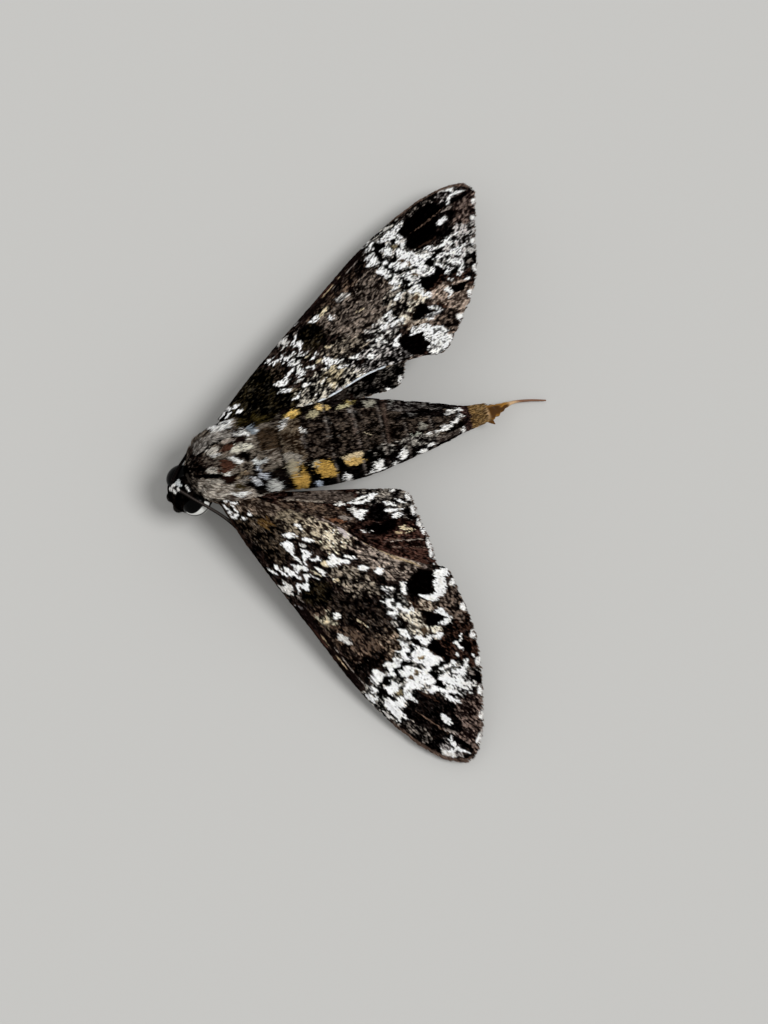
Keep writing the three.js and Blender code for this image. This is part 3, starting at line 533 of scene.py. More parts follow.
FORE_PATCHES = [
    # first bar
    (WHITE, [
        [(11.9, -2.8), (12.4, -3.05), (13, -2.8), (13.6, -2.6), (14.2, -2.6), (13.7, -2.3), (12.9, -2.5)],
        [(12.4, -1.6), (12.7, -2.1), (13.3, -2.1), (13.5, -1.75), (15, -1.75), (15.7, -1.6), (15, -1.5),
         (13.1, -1.4)],
        [(13.7, -0.8), (14.4, -1.15), (15.1, -1.35), (15.4, -0.9), (16.2, -0.6), (16.9, -0.35),
         (16.7, -0.1), (15.2, -0.35), (14.3, -0.5)],
        [(14.3, 0.2), (15, 0), (15.9, 0), (16, 0.5), (15.6, 0.8), (16.5, 1.1), (16.6, 1.4), (16.1, 1.7),
         (15.5, 1.2), (14.8, 0.8)],
        [(10.7, 1.3), (12, 1.25), (13.5, 1.3), (15.4, 1.3), (15.2, 1.55), (14, 1.65), (13.3, 1.5),
         (13, 1.9), (12.6, 2.4), (11.8, 2.65), (11.2, 2.2), (10.9, 1.6)],
        [(15.2, 1.8), (15.8, 1.6), (16, 1.9), (15.5, 2.2), (15.2, 2.5), (15.3, 3.2), (14.7, 3.65),
         (14.2, 3.3), (13.7, 3.1), (14.3, 2.8), (14.3, 2.3), (14.8, 2.1)],
        [(10, 2.6), (10.9, 2.45), (11.4, 3), (11.9, 3.95), (11, 3.75), (10.5, 3.2)],
    ]),
    (PALE_GREY, [[(12.5, 3.2), (13.3, 3.1), (13.9, 3.7), (13.2, 3.8)]]),
    (WHITE, [
        [(12.9, 4.1), (13.6, 4.4), (14.1, 5.2), (13.3, 5), (12.8, 4.6)],
        [(15.6, 2.7), (16.2, 2.9), (16.4, 3.4), (16.9, 3.8), (16.5, 4.15), (16, 4), (16, 3.3)],
        [(10, 4.8), (11, 4.9), (12, 4.9), (11.1, 5.4), (10.6, 5.1)],
    ]),
    # second bar
    (PALE_GREY, [
        [(15.1, -3.5), (16.2, -3.75), (17, -3.5), (17.5, -3), (16.7, -2.6), (17.3, -2.3), (16.4, -2.05),
         (15.1, -2.3), (15.5, -2.6), (16, -2.7), (15.9, -3.1), (15.3, -3.2)],
    ]),
    (WHITE, [
        [(18.5, -2.2), (17.7, -1.5), (17.5, -1.1), (18.3, -1.1), (18.8, -0.7), (18.4, -0.2), (17.7, 0.3),
         (17.4, 1), (16.9, 0.9), (16.5, 0.5), (17.2, 0.3), (17.8, -0.3), (17.5, -0.8), (16.9, -1.1),
         (17, -1.6), (17.8, -2)],
        [(17, 1.1), (17.8, 1.2), (18.7, 1.6), (17.7, 1.5)],
    ]),
    ((224, 212, 184), [[(17, 1.8), (17.9, 1.9), (18.7, 2.2), (17.4, 2.1)]]),
    (WHITE, [[(16.9, 2.5), (17.8, 2.7), (18.8, 2.4), (19, 2.65), (18.5, 3), (17.6, 2.95)]]),
    (CREAM, [[(17, 3.5), (17.5, 3.4), (18.2, 3.9), (18.3, 4.5), (17.8, 4.6), (17.4, 4.1)]]),
    (WHITE, [
        [(17.7, 4.3), (18.8, 4.1), (19, 5.2), (19.4, 5.8), (20.4, 6.9), (19.6, 6.75), (18.6, 6.1),
         (17.6, 5.9), (17.2, 5.3), (18, 5)],
        [(18.9, 6.7), (19.8, 7.2), (20.4, 7.8), (19.8, 7.8), (19, 7.2)],
    ]),
    (CREAM, [[(20.2, 3), (20.7, 3), (20.6, 3.5), (21.1, 3.5), (20.7, 3.9), (20.2, 3.6)]]),
    (WHITE, [
        [(21.3, 7.2), (21.8, 7.05), (22.7, 7.5), (22.5, 8.25), (21.9, 7.95)],
        [(23.4, 8.7), (24, 8.4), (24.7, 8.9), (24.6, 9.6), (23.9, 9.5)],
    ]),
    ((186, 176, 174), [[(14.8, 8.9), (16.4, 8.8), (17.6, 9), (17, 9.6), (15.6, 9.3)]]),
    # middle
    (WHITE, [[(24.1, -0.5), (24.6, -0.9), (25.2, -0.5), (24.9, 0.1), (24.3, 0.2)]]),
    (PALE_GREY, [[(26.6, -2.7), (27.6, -2.6), (29, -2.2), (29.3, -1.6), (28, -1.4), (26.9, -1.8)]]),
    # hind row
    (WHITE, [
        [(25.8, 7.6), (26.6, 7.5), (27.7, 7.5), (27.4, 7.8), (26.4, 7.8)],
        [(26.6, 8.2), (27.6, 8.3), (27.2, 8.8)],
        [(27.8, 6.1), (28.8, 6.3), (29.9, 6.5), (30.7, 6.95), (29.4, 6.75), (28.6, 7), (28.5, 7.7),
         (28, 7.2)],
        [(29.1, 5.5), (30.1, 5.4), (31.2, 5.9), (30.4, 6), (30.4, 6.4), (30.8, 7), (29.9, 6.4),
         (29.6, 5.9)],
        [(29.3, 7.2), (30, 7.1), (31, 7.6), (32, 7.8), (31.9, 8.6), (31.2, 8.9), (31.4, 8.2), (30.6, 7.8),
         (29.4, 7.85)],
    ]),
    # outer white field
    (WHITE, [
        [(34, -2.3), (34.8, -2.8), (34.4, -3.5), (35.2, -3.65), (36.3, -3.5), (36.2, -2.9), (36.6, -2.4),
         (36.1, -2.1), (35.7, -1.8), (36.2, -1.4), (36.5, -1), (35.6, -1.35), (34.5, -1.8)],
        [(34.5, -0.55), (36, -0.5), (36.1, -1), (37.2, -0.9), (37.1, -0.2), (36.3, -0.15), (36.1, 0.2),
         (36.5, 0.8), (36.8, 1.6), (36.4, 1.5), (36, 1.2), (36.2, 1.9), (36.8, 2.6), (35.9, 2.1),
         (34.8, 1.25), (35.4, 1.1), (35.2, 0.6), (34.9, 0)],
        [(34.6, 2.4), (35.4, 2.6), (36.2, 2.4), (36.9, 2.9), (36, 3.1), (36.2, 4.1), (35.2, 4),
         (34.9, 4.5), (34.2, 4.2), (33.4, 3.8), (34.6, 3.6), (34.9, 3.2)],
        [(32.2, 4.9), (33.3, 4.6), (34.2, 5), (35.3, 5.5), (34.4, 5.4), (33.6, 5.8), (33, 5.6)],
        [(36, -5.5), (36.4, -5.9), (37.8, -5.8), (38.2, -5.4), (37, -5.1), (36.1, -5.2)],
        [(35.4, -4.3), (36.4, -4.75), (37.9, -4.9), (37.8, -4.6), (36.8, -4.4), (36.9, -4.2),
         (37.7, -3.8), (37.6, -3.2), (36.8, -3.7), (36, -4)],
    ]),
    (PALE_GREY, [[(39.7, -5.6), (41, -5.9), (41.4, -5.5), (41.1, -5.2), (39.9, -5.4)]]),
    (WHITE, [
        [(37.8, -4), (39, -4.5), (40.5, -4.8), (42.8, -4.9), (42.2, -4.4), (42.3, -4.1), (43.2, -3.8),
         (42.6, -3.4), (41.4, -3.6), (41, -3.3), (41.7, -2.7), (41, -2.3), (40.6, -1.8), (40.2, -1.7),
         (39.9, -2.3), (40.1, -3), (39.4, -3.4), (38.9, -3.4), (38.5, -3.9)],
        [(36.9, -2.8), (38, -3), (39.3, -2.9), (38.8, -2.3), (38.9, -1.8), (38.8, -1.2), (38.6, -0.5),
         (38, -0.9), (37.4, -1.3), (37, -1.5), (37.8, -1.9), (37.5, -2.4)],
        [(38.9, -0.3), (39.4, -1), (40.1, -1.05), (40.2, -1.5), (40.7, -1.8), (41, -1.4), (42.1, -1),
         (41.6, -0.65), (40.6, -0.6), (40, -0.4), (40.3, 0), (41, 0.8), (41.1, 1.4), (40.8, 1.6),
         (41.1, 2.1), (42, 2.6), (42, 3.2), (41.4, 3.65), (40.2, 3.5), (40, 4), (39.8, 4.6), (40.1, 5.1),
         (40.7, 6.2), (40.2, 6.75), (39.5, 6.4), (38.9, 6), (37.6, 6), (36.8, 5.7), (37.6, 5.4),
         (37, 5.2), (36.7, 5.9), (36, 5.6), (35.5, 5.2), (35.6, 4.6), (36.4, 4.4), (36.6, 3.3),
         (37.2, 3.1), (38, 3.5), (38.9, 4), (39.5, 3.6), (39, 3.1), (38, 2.6), (37.3, 2.1), (36.9, 1.9),
         (37.2, 1.4), (36.9, 0.5), (37.5, 0.15), (38.4, 0.5), (39.2, 0.4)],
        [(34.8, 6), (36, 5.9), (37, 6.2), (37.4, 6.8), (36.8, 7.2), (36.9, 7.9), (37.8, 8.6), (37.6, 9.4),
         (36.9, 9), (36.2, 7.6), (36, 6.8), (35.3, 6.8)],
        [(41.9, 1.6), (42.9, 1.7), (42.8, 2.3), (43.2, 2.9), (44, 3.1), (45.2, 2.9), (46.4, 3.5),
         (46.9, 4), (45.8, 3.7), (44.6, 3.5), (45.2, 4.2), (45.7, 4.8), (44.9, 4.6), (43.8, 3.7),
         (42.9, 3.3), (42.3, 2.6)],
        [(41.2, 4.2), (42.2, 4), (42.9, 4.4), (43.6, 4.9), (45, 5.2), (46.1, 5.9), (46, 6.2), (44.9, 6),
         (44.7, 6.7), (44, 6.4), (43.3, 5.6), (42.4, 4.9), (41.6, 4.7)],
        [(40.5, 4.9), (41.5, 5.2), (41.3, 5.7), (42.1, 7), (41.6, 6.8), (41, 5.8)],
        [(42.5, 6.5), (43.3, 6.4), (44.1, 6.9), (44.2, 7.4), (43.9, 7.9), (44, 8.4), (43.2, 8.6),
         (42.8, 9.2), (42.3, 8.7), (43, 8.4), (43.1, 7.4)],
        [(40.9, 7.4), (42, 7), (42.5, 7.3), (41.6, 7.7)],
    ]),
    # brown flecks within it
    ((88, 73, 58), [[(38.4, 0.9), (38.9, 0.7), (39.3, 1.1), (39.8, 1.2), (39, 1.6), (38.7, 1.5)]]),
    ((112, 98, 80), [[(38.5, 2.1), (38.9, 2.3), (39.2, 1.8), (39.6, 2.3), (39, 2.9), (38.6, 2.6)]]),
    ((126, 114, 90), [[(38.9, -2.1), (39.6, -2.2), (40, -1.6), (39.3, -1.1), (38.9, -1.5)]]),
    ((140, 122, 96), [[(37.5, 4), (37.9, 3.9), (38.2, 4.6), (38, 5.2), (37.6, 4.5)]]),
    # black gaps between the white teeth
    (BLACK, [
        [(36.2, -3.3), (37, -3.2), (36.9, -2.6), (37.4, -2.2), (36.8, -1.8), (37, -1.2), (37.6, -0.9),
         (36.9, -0.7), (36.2, -1.2), (36.4, -1.9), (36.1, -2.5)],
        [(37.9, -4.7), (37.6, -4.2), (37.7, -3.7), (38.7, -3.3), (38.4, -2.9), (37.3, -3.2), (36.6, -3.6),
         (37, -4.2)],
        [(36.3, -0.1), (37.2, -0.2), (38.9, -0.3), (38.7, 0.2), (37.3, 0.3), (36.9, 0.6), (37.2, 1.3),
         (36.8, 1.6), (37.2, 2.2), (38.1, 2.9), (37.4, 3), (36.4, 2.3), (36.1, 1.7), (36.5, 1.3)],
        [(35.9, 3.1), (36.7, 3.2), (36.3, 3.9), (36.7, 4.5), (36.1, 5), (35.4, 4.8), (35.9, 4.2)],
        [(34.6, 4.9), (35.6, 5.1), (36.9, 5.6), (36.2, 5.9), (35, 5.6)],
        [(40.1, 3.8), (41.4, 3.6), (42, 4), (41, 4.4), (40.9, 5.1), (40.1, 5)],
        [(40.4, 5.1), (41.1, 5.9), (41.5, 6.9), (41, 7.5), (40.5, 6.6), (40.1, 5.8)],
        [(37.3, 6.2), (38.6, 6.3), (40.2, 6.9), (40.4, 7.5), (39, 7.9), (37.6, 8.1), (36.9, 7.4)],
        [(41.9, 2.9), (43, 3.3), (43.6, 4), (42.9, 4.3), (42, 3.8)],
    ]),
    # hind corner
    (WHITE, [
        [(27.5, 10.2), (28, 9.7), (28.8, 9.2), (29.9, 9.4), (29.3, 9.7), (28.6, 9.8), (28.7, 10.2),
         (28.3, 10.7)],
    ]),
    (SOOT, [
        [(28.6, 9.8), (30.6, 10), (31, 10.8), (31.5, 11.6), (32.1, 12.4), (32, 13), (31.2, 13.2),
         (31.1, 13.7), (30, 14.3), (28.9, 14.4), (28, 13), (28.1, 11)],
    ]),
    (WHITE, [
        [(30.4, 10.6), (31.4, 10.9), (32.5, 11.2), (33.1, 12), (33.1, 12.8), (33.4, 13.8), (32.8, 14.5),
         (32.1, 15), (31.6, 16), (31, 17), (30.4, 16), (30, 15), (30.2, 14.3), (31, 14.2), (31.3, 13.3),
         (32.1, 13), (32.3, 12.4), (31.8, 11.8)],
    ]),
    (SOOT, [
        [(32.5, 9.2), (34, 9), (34.3, 8.2), (35.6, 8.9), (36.3, 9.6), (36, 11.1), (35.3, 11),
         (34.2, 10.4), (33, 10)],
    ]),
    (WHITE, [
        [(34, 10.5), (35, 10.9), (36.3, 11.5), (37, 12.1), (36, 11.95), (35.2, 11.8), (34.9, 12.1),
         (34.3, 11.6)],
        [(36, 9.9), (36.8, 10.4), (37, 11.2), (36.5, 11.7), (36.1, 10.9)],
        [(39.6, 9.5), (40.2, 9.5), (41.5, 9.6), (40.4, 10), (40.3, 10.6), (39.6, 11.2), (38.8, 11.3),
         (39.8, 10.6)],
    ]),
    (SOOT, [[(40.3, 10), (41.8, 9.8), (42.6, 10.6), (41.4, 11.4), (40.2, 10.9)]]),
    ((88, 73, 58), [[(34.5, 7.2), (35.6, 7.2), (36, 7.9), (35, 8.2)]]),
    (WHITE, [[(41, 8.5), (41.5, 8.4), (41.6, 8.9), (41.1, 9)]]),
    # tip
    (PALE_GREY, [[(49.6, -3.3), (50.6, -3.7), (51.6, -3.2), (52.5, -2.3), (51.8, -2.3), (50.6, -2.9)]]),
    (WHITE, [
        [(46, 0.1), (47.2, 0), (48.1, 0.3), (48.2, 0.7), (47.2, 1.1), (46.2, 0.9)],
        [(50.5, -3.1), (51.4, -2.7), (51.8, -2.2), (51.5, -1.7), (52.6, -1.2), (53.6, -0.6), (52.4, -0.8),
         (51.2, -1.2), (50.3, -1), (49.7, -0.4), (49.4, -0.9), (50, -1.5), (51.1, -1.8), (51, -2.3)],
    ]),
]

FORE_MARKS = [
    (WHITE, 1, -0.9, 0.9, 0.2, 8), (WHITE, 2.2, -1, 0.22, 0.5, 0), (WHITE, 3.2, -0.8, 0.7, 0.26, 60),
    (WHITE, 2.5, 0.1, 0.7, 0.16, -5), (WHITE, 0.4, 0, 0.5, 0.26, 40), (WHITE, 4.3, 0, 0.35, 0.3, 20),
    (WHITE, 4.4, 1.1, 0.3, 0.3, 0), (WHITE, 1.5, 0.5, 0.6, 0.14, 50), (BLACK, 1.8, -0.5, 0.5, 0.16, 0),
    (CREAM, 24.2, -2.1, 1, 0.2, -24), (CREAM, 27.4, 1.5, 0.3, 0.16, 0), (CREAM, 28.7, 1.9, 0.4, 0.12, 0),
    (WHITE, 19.8, -3.5, 0.5, 0.12, 10), (GREY, 18.9, -2.5, 0.8, 0.14, -8),
    (BLACK, 42.6, 3.6, 0.8, 0.4, 0), (BLACK, 45.2, 3.8, 0.5, 0.25, 10), (BLACK, 45.4, 8.1, 1.1, 0.8, 6),
    (GREY, 44.9, 8.2, 0.42, 0.34, 0), (PALE_GREY, 46.1, 7.3, 0.4, 0.32, 0),
    (BLACK, 46.1, 7.3, 0.14, 0.12, 0), (WHITE, 43, 10.2, 0.3, 0.2, 0), (BROWN, 45.6, -1.4, 2.6, 0.09, 12),
    (GREY, 49, -0.2, 1, 0.22, 24), (UMBER, 42.8, 1.1, 1.6, 0.2, 18), (BLACK, 51.6, -0.2, 1.5, 0.34, 12),
    (TAN, 26, 13, 2.2, 0.14, 26), (TAN, 22, 11.2, 2.6, 0.1, 18),
]
# The right forewing differs: a black base with olive streaks, finer black and white speckle behind, and a
# fuller white hind corner.
RIGHT_ZONES = [
    ((5, 4, 4), (54, 48, 35), 0.2, [(0.6, -2.4), (11, -3.2), (12, -1), (11.4, 2), (11, 4), (13.4, 8.6),
        (9, 8), (4, 4)]),
    ((8, 6, 6), (214, 206, 190), 0.24, [(11, 4.5), (15, 4.4), (20.5, 6), (21, 9), (23, 12), (14, 9.6),
        (10.4, 6.6)]),
    ((20, 16, 12), (196, 182, 152), 0.3, [(15.6, 5.6), (19, 6), (19.4, 8.4), (16.4, 8.6)]),
    ((9, 7, 7), (206, 200, 196), 0.2, [(20, 7.6), (25, 7.4), (29, 9.6), (29.4, 13.6), (23, 11.8)]),
    ((8, 6, 6), (30, 24, 22), 0.3, [(21.6, 7.8), (23, 8), (22.8, 9.8), (21.4, 9.2)]),
    ((22, 18, 16), (126, 114, 104), 0.44, [(22.5, -1.6), (34.6, -2), (34.8, 4), (30, 5.6), (23.5, 5)]),
    ((20, 17, 16), (206, 202, 196), 0.42, [(25, 5), (29.6, 5.4), (30, 8.4), (25.4, 8.6)]),
    ((12, 8, 8), (62, 42, 36), 0.4, [(31.2, 10.4), (32.6, 11.4), (33, 13.4), (31.4, 14.6), (29.2, 14.4),
        (29, 12)]),
    ((10, 8, 8), (196, 186, 170), 0.28, [(31, 3), (35.4, 3.4), (36, 7), (32.4, 8), (30.6, 6)]),
    ((56, 46, 40), (166, 148, 134), 0.56, [(37, 8.4), (40.4, 8.4), (42.6, 9.4), (42, 12.6), (38, 14.6)]),
    ((20, 17, 16), (206, 200, 196), 0.4, [(43, 2.4), (46.6, 2.6), (48.6, 3), (49.6, 4.8), (46.6, 6.6),
        (43, 7)]),
]
RIGHT_PATCHES = [
    (WHITE, [[(21.2, -2), (22.4, -2.4), (23.4, -2.2), (22.8, -1.5), (21.6, -1.4)]]),
    (BLACK, [
        [(37, -4.2), (38.2, -4.5), (38, -3.8), (39.3, -3.4), (38.3, -3.1), (38.6, -2.5), (37.5, -3),
         (36.9, -3.5)],
        [(40.9, -3.4), (42.6, -4.5), (46, -4), (47.4, -3.2), (48.4, -2), (48, -0.7), (47, -0.3),
         (45.6, 0.6), (45, 1.5), (43.6, 0.8), (42.2, 0.6), (40.8, -0.6), (41.8, -1.4)],
        [(37, 5.9), (38.2, 5.4), (38.8, 6.1), (40.4, 6.2), (40.8, 7), (39.6, 7.1), (40.2, 7.9),
         (38.4, 7.3), (37.9, 6.6)],
    ]),
    (WHITE, [
        [(31, 10), (32, 10.2), (33.2, 11.2), (33.8, 12.4), (32.8, 12.6), (32, 11.4), (31, 10.8)],
        [(30.8, 12.8), (32, 12.2), (33.4, 12.6), (34.3, 13.4), (34.5, 14.8), (33.6, 16.4), (31.8, 17),
         (30.6, 15.8), (31.4, 14.2)],
    ]),
]
FRINGE_SPOTS = [52.6, 50.3, 47.4, 44.2, 40.6, 36.6, 33.0]  # s of the white spots between the vein ends
FORE_VEINS = [
    [(0.5, -0.8), (16, -3.2), (33, -5.5)],
    [(1, -0.3), (12, -1.9), (24, -2.6), (26, -2.3), (40, -2.9), (52.8, -2.6)],
    [(17, -2.4), (28, -4), (37, -5.5)], [(24, -2.6), (34, -4), (42, -5.3)],
    [(26, -2.4), (38, -3.6), (47, -5)], [(25, -1.6), (38, -1), (53.2, 0.4)],
    [(25.2, -0.4), (36, 1.5), (51.5, 3.4)],
    [(1, 0.5), (10, 1.6), (18, 2.2), (23, 1.7), (24.6, 1), (34, 4.2), (48, 6.8)],
    [(24.6, 1), (25.2, -0.4), (25, -1.6), (24, -2.6)], [(23, 1.7), (31, 6), (43.5, 10.4)],
    [(17, 2.2), (25, 6.5), (38.5, 13.5)], [(1, 1.2), (10, 4.5), (20, 8.5), (31, 15.5)],
]

HIND_ZONES = [
    ((14, 10, 10), (56, 41, 36), 0.42, [(-1, -9), (34, -9), (34, 9), (-1, 9)]),
    ((28, 22, 20), (98, 82, 70), 0.36, [(6, 0), (17, -0.6), (18.4, 2), (15, 2.8), (9, 2.2), (6, 1.6)]),
    ((56, 49, 45), (98, 88, 81), 0.5, [(6.6, 1.8), (10, 2.5), (14, 3.3), (17, 4.3), (16.4, 5.6),
        (12, 4.6), (8, 3)]),
    ((22, 15, 14), (78, 56, 49), 0.46, [(20, -2.6), (32, -3), (31, 0), (29, 2.6), (26, 3.8), (23.4, 2),
        (22, 0)]),
    ((12, 10, 10), (150, 142, 132), 0.26, [(16.8, 4.4), (26, 4), (25.6, 8), (18, 8)]),
    ((8, 6, 6), (18, 14, 13), 0.3, [(19.4, 2.2), (21.4, 2.3), (22.8, 3.4), (22.2, 4.6), (20.6, 5.4),
        (19.3, 4)]),
]
# The patches of both hindwings, and those that only the left one shows.
HIND_PATCHES = [
    (PALE_GREY, [[(14.2, 3), (15, 3), (15.8, 3.5), (14.8, 3.8)]]),
    (WHITE, [[(17.6, 2.2), (18.4, 1.9), (19.1, 2.2), (18.9, 3), (19.2, 3.6), (18.2, 3.5), (17.6, 3)]]),
    (PALE_GREY, [[(16.6, 3), (17.6, 2.8), (17.8, 3.3), (16.8, 3.5)]]),
]
HIND_PATCHES_LEFT = [
    (WHITE, [
        [(16, 3.9), (17.4, 4), (18.4, 4.3), (19.6, 5.6), (20, 6.2), (19.2, 5.9), (18, 4.7), (16.6, 4.2)],
        [(16.8, 4.4), (17.4, 4.5), (18.6, 5.6), (18.2, 5.7), (17.2, 5)],
        [(18.6, 5.8), (19.4, 5.7), (20, 6.3), (19, 6.3)],
    ]),
    (PALE_GREY, [[(19, 0.5), (20, 0.4), (20.9, 0.7), (20, 1)]]),
    (WHITE, [
        [(23, 3.6), (23.8, 3.6), (24.6, 4.4), (23.8, 4.7), (23.1, 4.2)],
        [(21.6, 4.1), (22.8, 4.4), (24.8, 5.5), (23.4, 5.1), (22, 4.6)],
        [(21, 5.5), (22.6, 5.2), (23.4, 5.6), (22, 5.8)],
        [(22.7, 6.4), (24, 6.1), (25, 6.1), (24.6, 6.35), (23.4, 6.6)],
    ]),
    (CREAM, [
        [(24.4, 2.6), (25.4, 2.4), (26.6, 2.8), (25.2, 3)],
        [(25.6, 1.8), (26.3, 2.2), (26.8, 2.8), (26, 2.3)],
    ]),
    (TAN, [[(24.2, 1.6), (25, 1.5), (25.4, 2), (24.8, 2)]]),
]
HIND_MARKS = [
    ((150, 138, 128), 26.4, 1, 2.8, 0.09, 19), ((120, 102, 92), 25, -0.5, 1.4, 0.07, 14),
    ((112, 94, 84), 28.2, 0.4, 1.3, 0.06, 12), ((104, 88, 78), 24.6, 0.6, 1.2, 0.07, 16),
    ((150, 140, 128), 10.4, 2.55, 3.2, 0.1, 12), (BLACK, 23.2, 2.6, 0.9, 0.7, 0),
    (BLACK, 21.6, 1.4, 1.6, 0.7, 10), (GREY, 16.4, 1.6, 1, 0.3, 8),
    ((110, 78, 60), 15.2, 0.9, 1.4, 0.24, 6),
]
HIND_FRINGE_SPOTS = [24.4, 22.0]  # s of the white spots of both hindwings
HIND_FRINGE_SPOTS_LEFT = [31.4, 30.2, 29.3, 28.1, 27.2, 25.8]
HIND_VEINS = [
    [(2, 0), (12, -4), (28, -7)], [(2, 0), (12, -2.6), (32.4, -4.6)], [(12, -1.6), (31, -2)],
    [(12, -1), (29.8, 0.8)], [(10, 0), (18, 1.2), (28, 3)], [(8, 0.4), (16, 2.4), (26.4, 4.8)],
    [(3, 0.4), (14, 3.6), (24.6, 7)], [(2, 0.6), (12, 4), (19, 6.6)],
]
VEIN_HUB = (-15, 0.4)  # (s, t) from which the scales fan out
VEIN_HEIGHT = 0.09
VEIN_WIDTH = 0.22
FIELD_DEPTH = 0.05  # how far the membrane sinks between the veins
UNEVENNESS = 0.05
MEMBRANE_HALF = 0.13  # half the membrane's thickness
FRONT_THICKENING = 0.3  # more of it towards the leading edge
WORN_STRETCH = (43, 48.5, 51.5, 54)  # s where the wear starts, is full, fades and ends
UV_FRONT = -9  # t at the front of the unwrapped skin
UV_DEPTH = 27
UV_MARGIN = 1


def distance_to(lines, x, y):
    """Distance from each point to the nearest of some broken lines."""
    nearest = np.full(np.shape(x), 99.0)
    for line in lines:
        for (x0, y0), (x1, y1) in zip(line, line[1:]):
            dx, dy = x1 - x0, y1 - y0
            along = np.clip(((x - x0) * dx + (y - y0) * dy) / (dx * dx + dy * dy), 0, 1)
            nearest = np.minimum(nearest, np.hypot(x - x0 - along * dx, y - y0 - along * dy))
    return nearest


class Wing:
    """One wing: its outline in (s, t), its relief, and where that lies in space."""

    def __init__(self, outline, veins, pose, hind):
        self.costa = smooth(outline["costa"])
        self.whole_trail = smooth(outline["trail"])
        self.worn = 0 if hind else pose["worn"]
        self.length = outline["costa"][-1][0]
        self.camber = outline["camber"]
        self.veins = veins
        self.side = pose["side"]
        angles = ("sweep", "droop", "slope", "hind_swing")
        sweep, droop, slope, swing = (math.radians(pose[angle]) for angle in angles)
        self.root = np.array(pose["place"], float)
        self.along = np.array([
            self.side * math.cos(sweep) * math.cos(droop),
            math.sin(sweep) * math.cos(droop),
            -math.sin(droop),
        ])
        level = np.array([-self.side * math.sin(sweep), math.cos(sweep), 0])
        flat_normal = np.cross(self.along, level) * self.side
        self.back = level * math.cos(slope) + flat_normal * math.sin(slope)
        self.normal = np.cross(self.along, self.back) * self.side
        if hind:
            self.root = self.root + self.along * HINDWING_HINGE[0] + self.back * HINDWING_HINGE[1]
            self.root = self.root - self.normal * HINDWING_DEPTH
            self.along, self.back = (
                self.along * math.cos(swing) + self.back * math.sin(swing),
                self.back * math.cos(swing) - self.along * math.sin(swing),
            )

    def trail(self, s):
        """t of the trailing edge, less where it is worn back before the tip."""
        return self.whole_trail(s) - self.worn * window(s, *WORN_STRETCH)

    def edge_distances(self, s, t):
        """How far each point lies behind the leading edge and before the trailing edge."""
        s = np.clip(s, 0, self.length)
        return t - self.costa(s), self.trail(s) - t

    def relief(self, s, t):
        """Height of the wing's middle sheet and half its thickness."""
        low, high = self.costa(s), self.trail(s)
        v = np.clip((t - low) / np.maximum(high - low, 1e-3), 0, 1)
        arch = self.camber * np.sin(math.pi * v) * np.minimum(1, np.maximum(self.length - s, 0) / CAMBER_FADE)
        rounding = np.sqrt(np.clip(1 - np.abs(2 * v - 1) ** 8, 0.02, 1))
        half = (FRONT_THICKENING * (1 - v) ** 4 + MEMBRANE_HALF) * rounding
        to_vein = distance_to(self.veins, s, t)
        arch = arch + VEIN_HEIGHT * np.exp(-(to_vein / VEIN_WIDTH) ** 2)
        arch = arch - FIELD_DEPTH * smoothstep(0, 1.2, to_vein)
        return arch + UNEVENNESS * (noise(s * 0.5, t * 0.7, 71) - 0.5), half

    def place(self, s, t, height):
        s, t, height = s[..., None], t[..., None], height[..., None]
        return self.root + s * self.along + t * self.back + height * self.normal

    def lie(self, s, t):
        """Directions along the veins, as (s, t) pairs."""
        return unit(np.stack([s - VEIN_HUB[0], t - VEIN_HUB[1]], -1))

    def turn(self, pairs):
        return pairs[:, :1] * self.along + pairs[:, 1:] * self.back

    def uv(self, s, t):
        return np.stack([(s + UV_MARGIN) / (self.length + 2 * UV_MARGIN), (t - UV_FRONT) / UV_DEPTH], -1)


def add_fringe_spots(colour, spots, s, left, half_length, half_width, ragged, low, high):
    """White spots on the fringe, at places given by s. left is the distance to the trailing edge."""
    for spot in spots:
        reach = np.hypot((s - spot) / half_length, left / half_width) + ragged
        colour = blend(colour, WHITE, smoothstep(high, low, reach))
    return colour


STRIP_DARK = (24, 18, 17)
STRIP_BROWN = (66, 46, 40)
FRONT_EDGE = (92, 76, 67)  # the leading edge towards the tip
FRONT_EDGE_ROOT = (48, 36, 31)
HIND_RIM = (206, 212, 218)


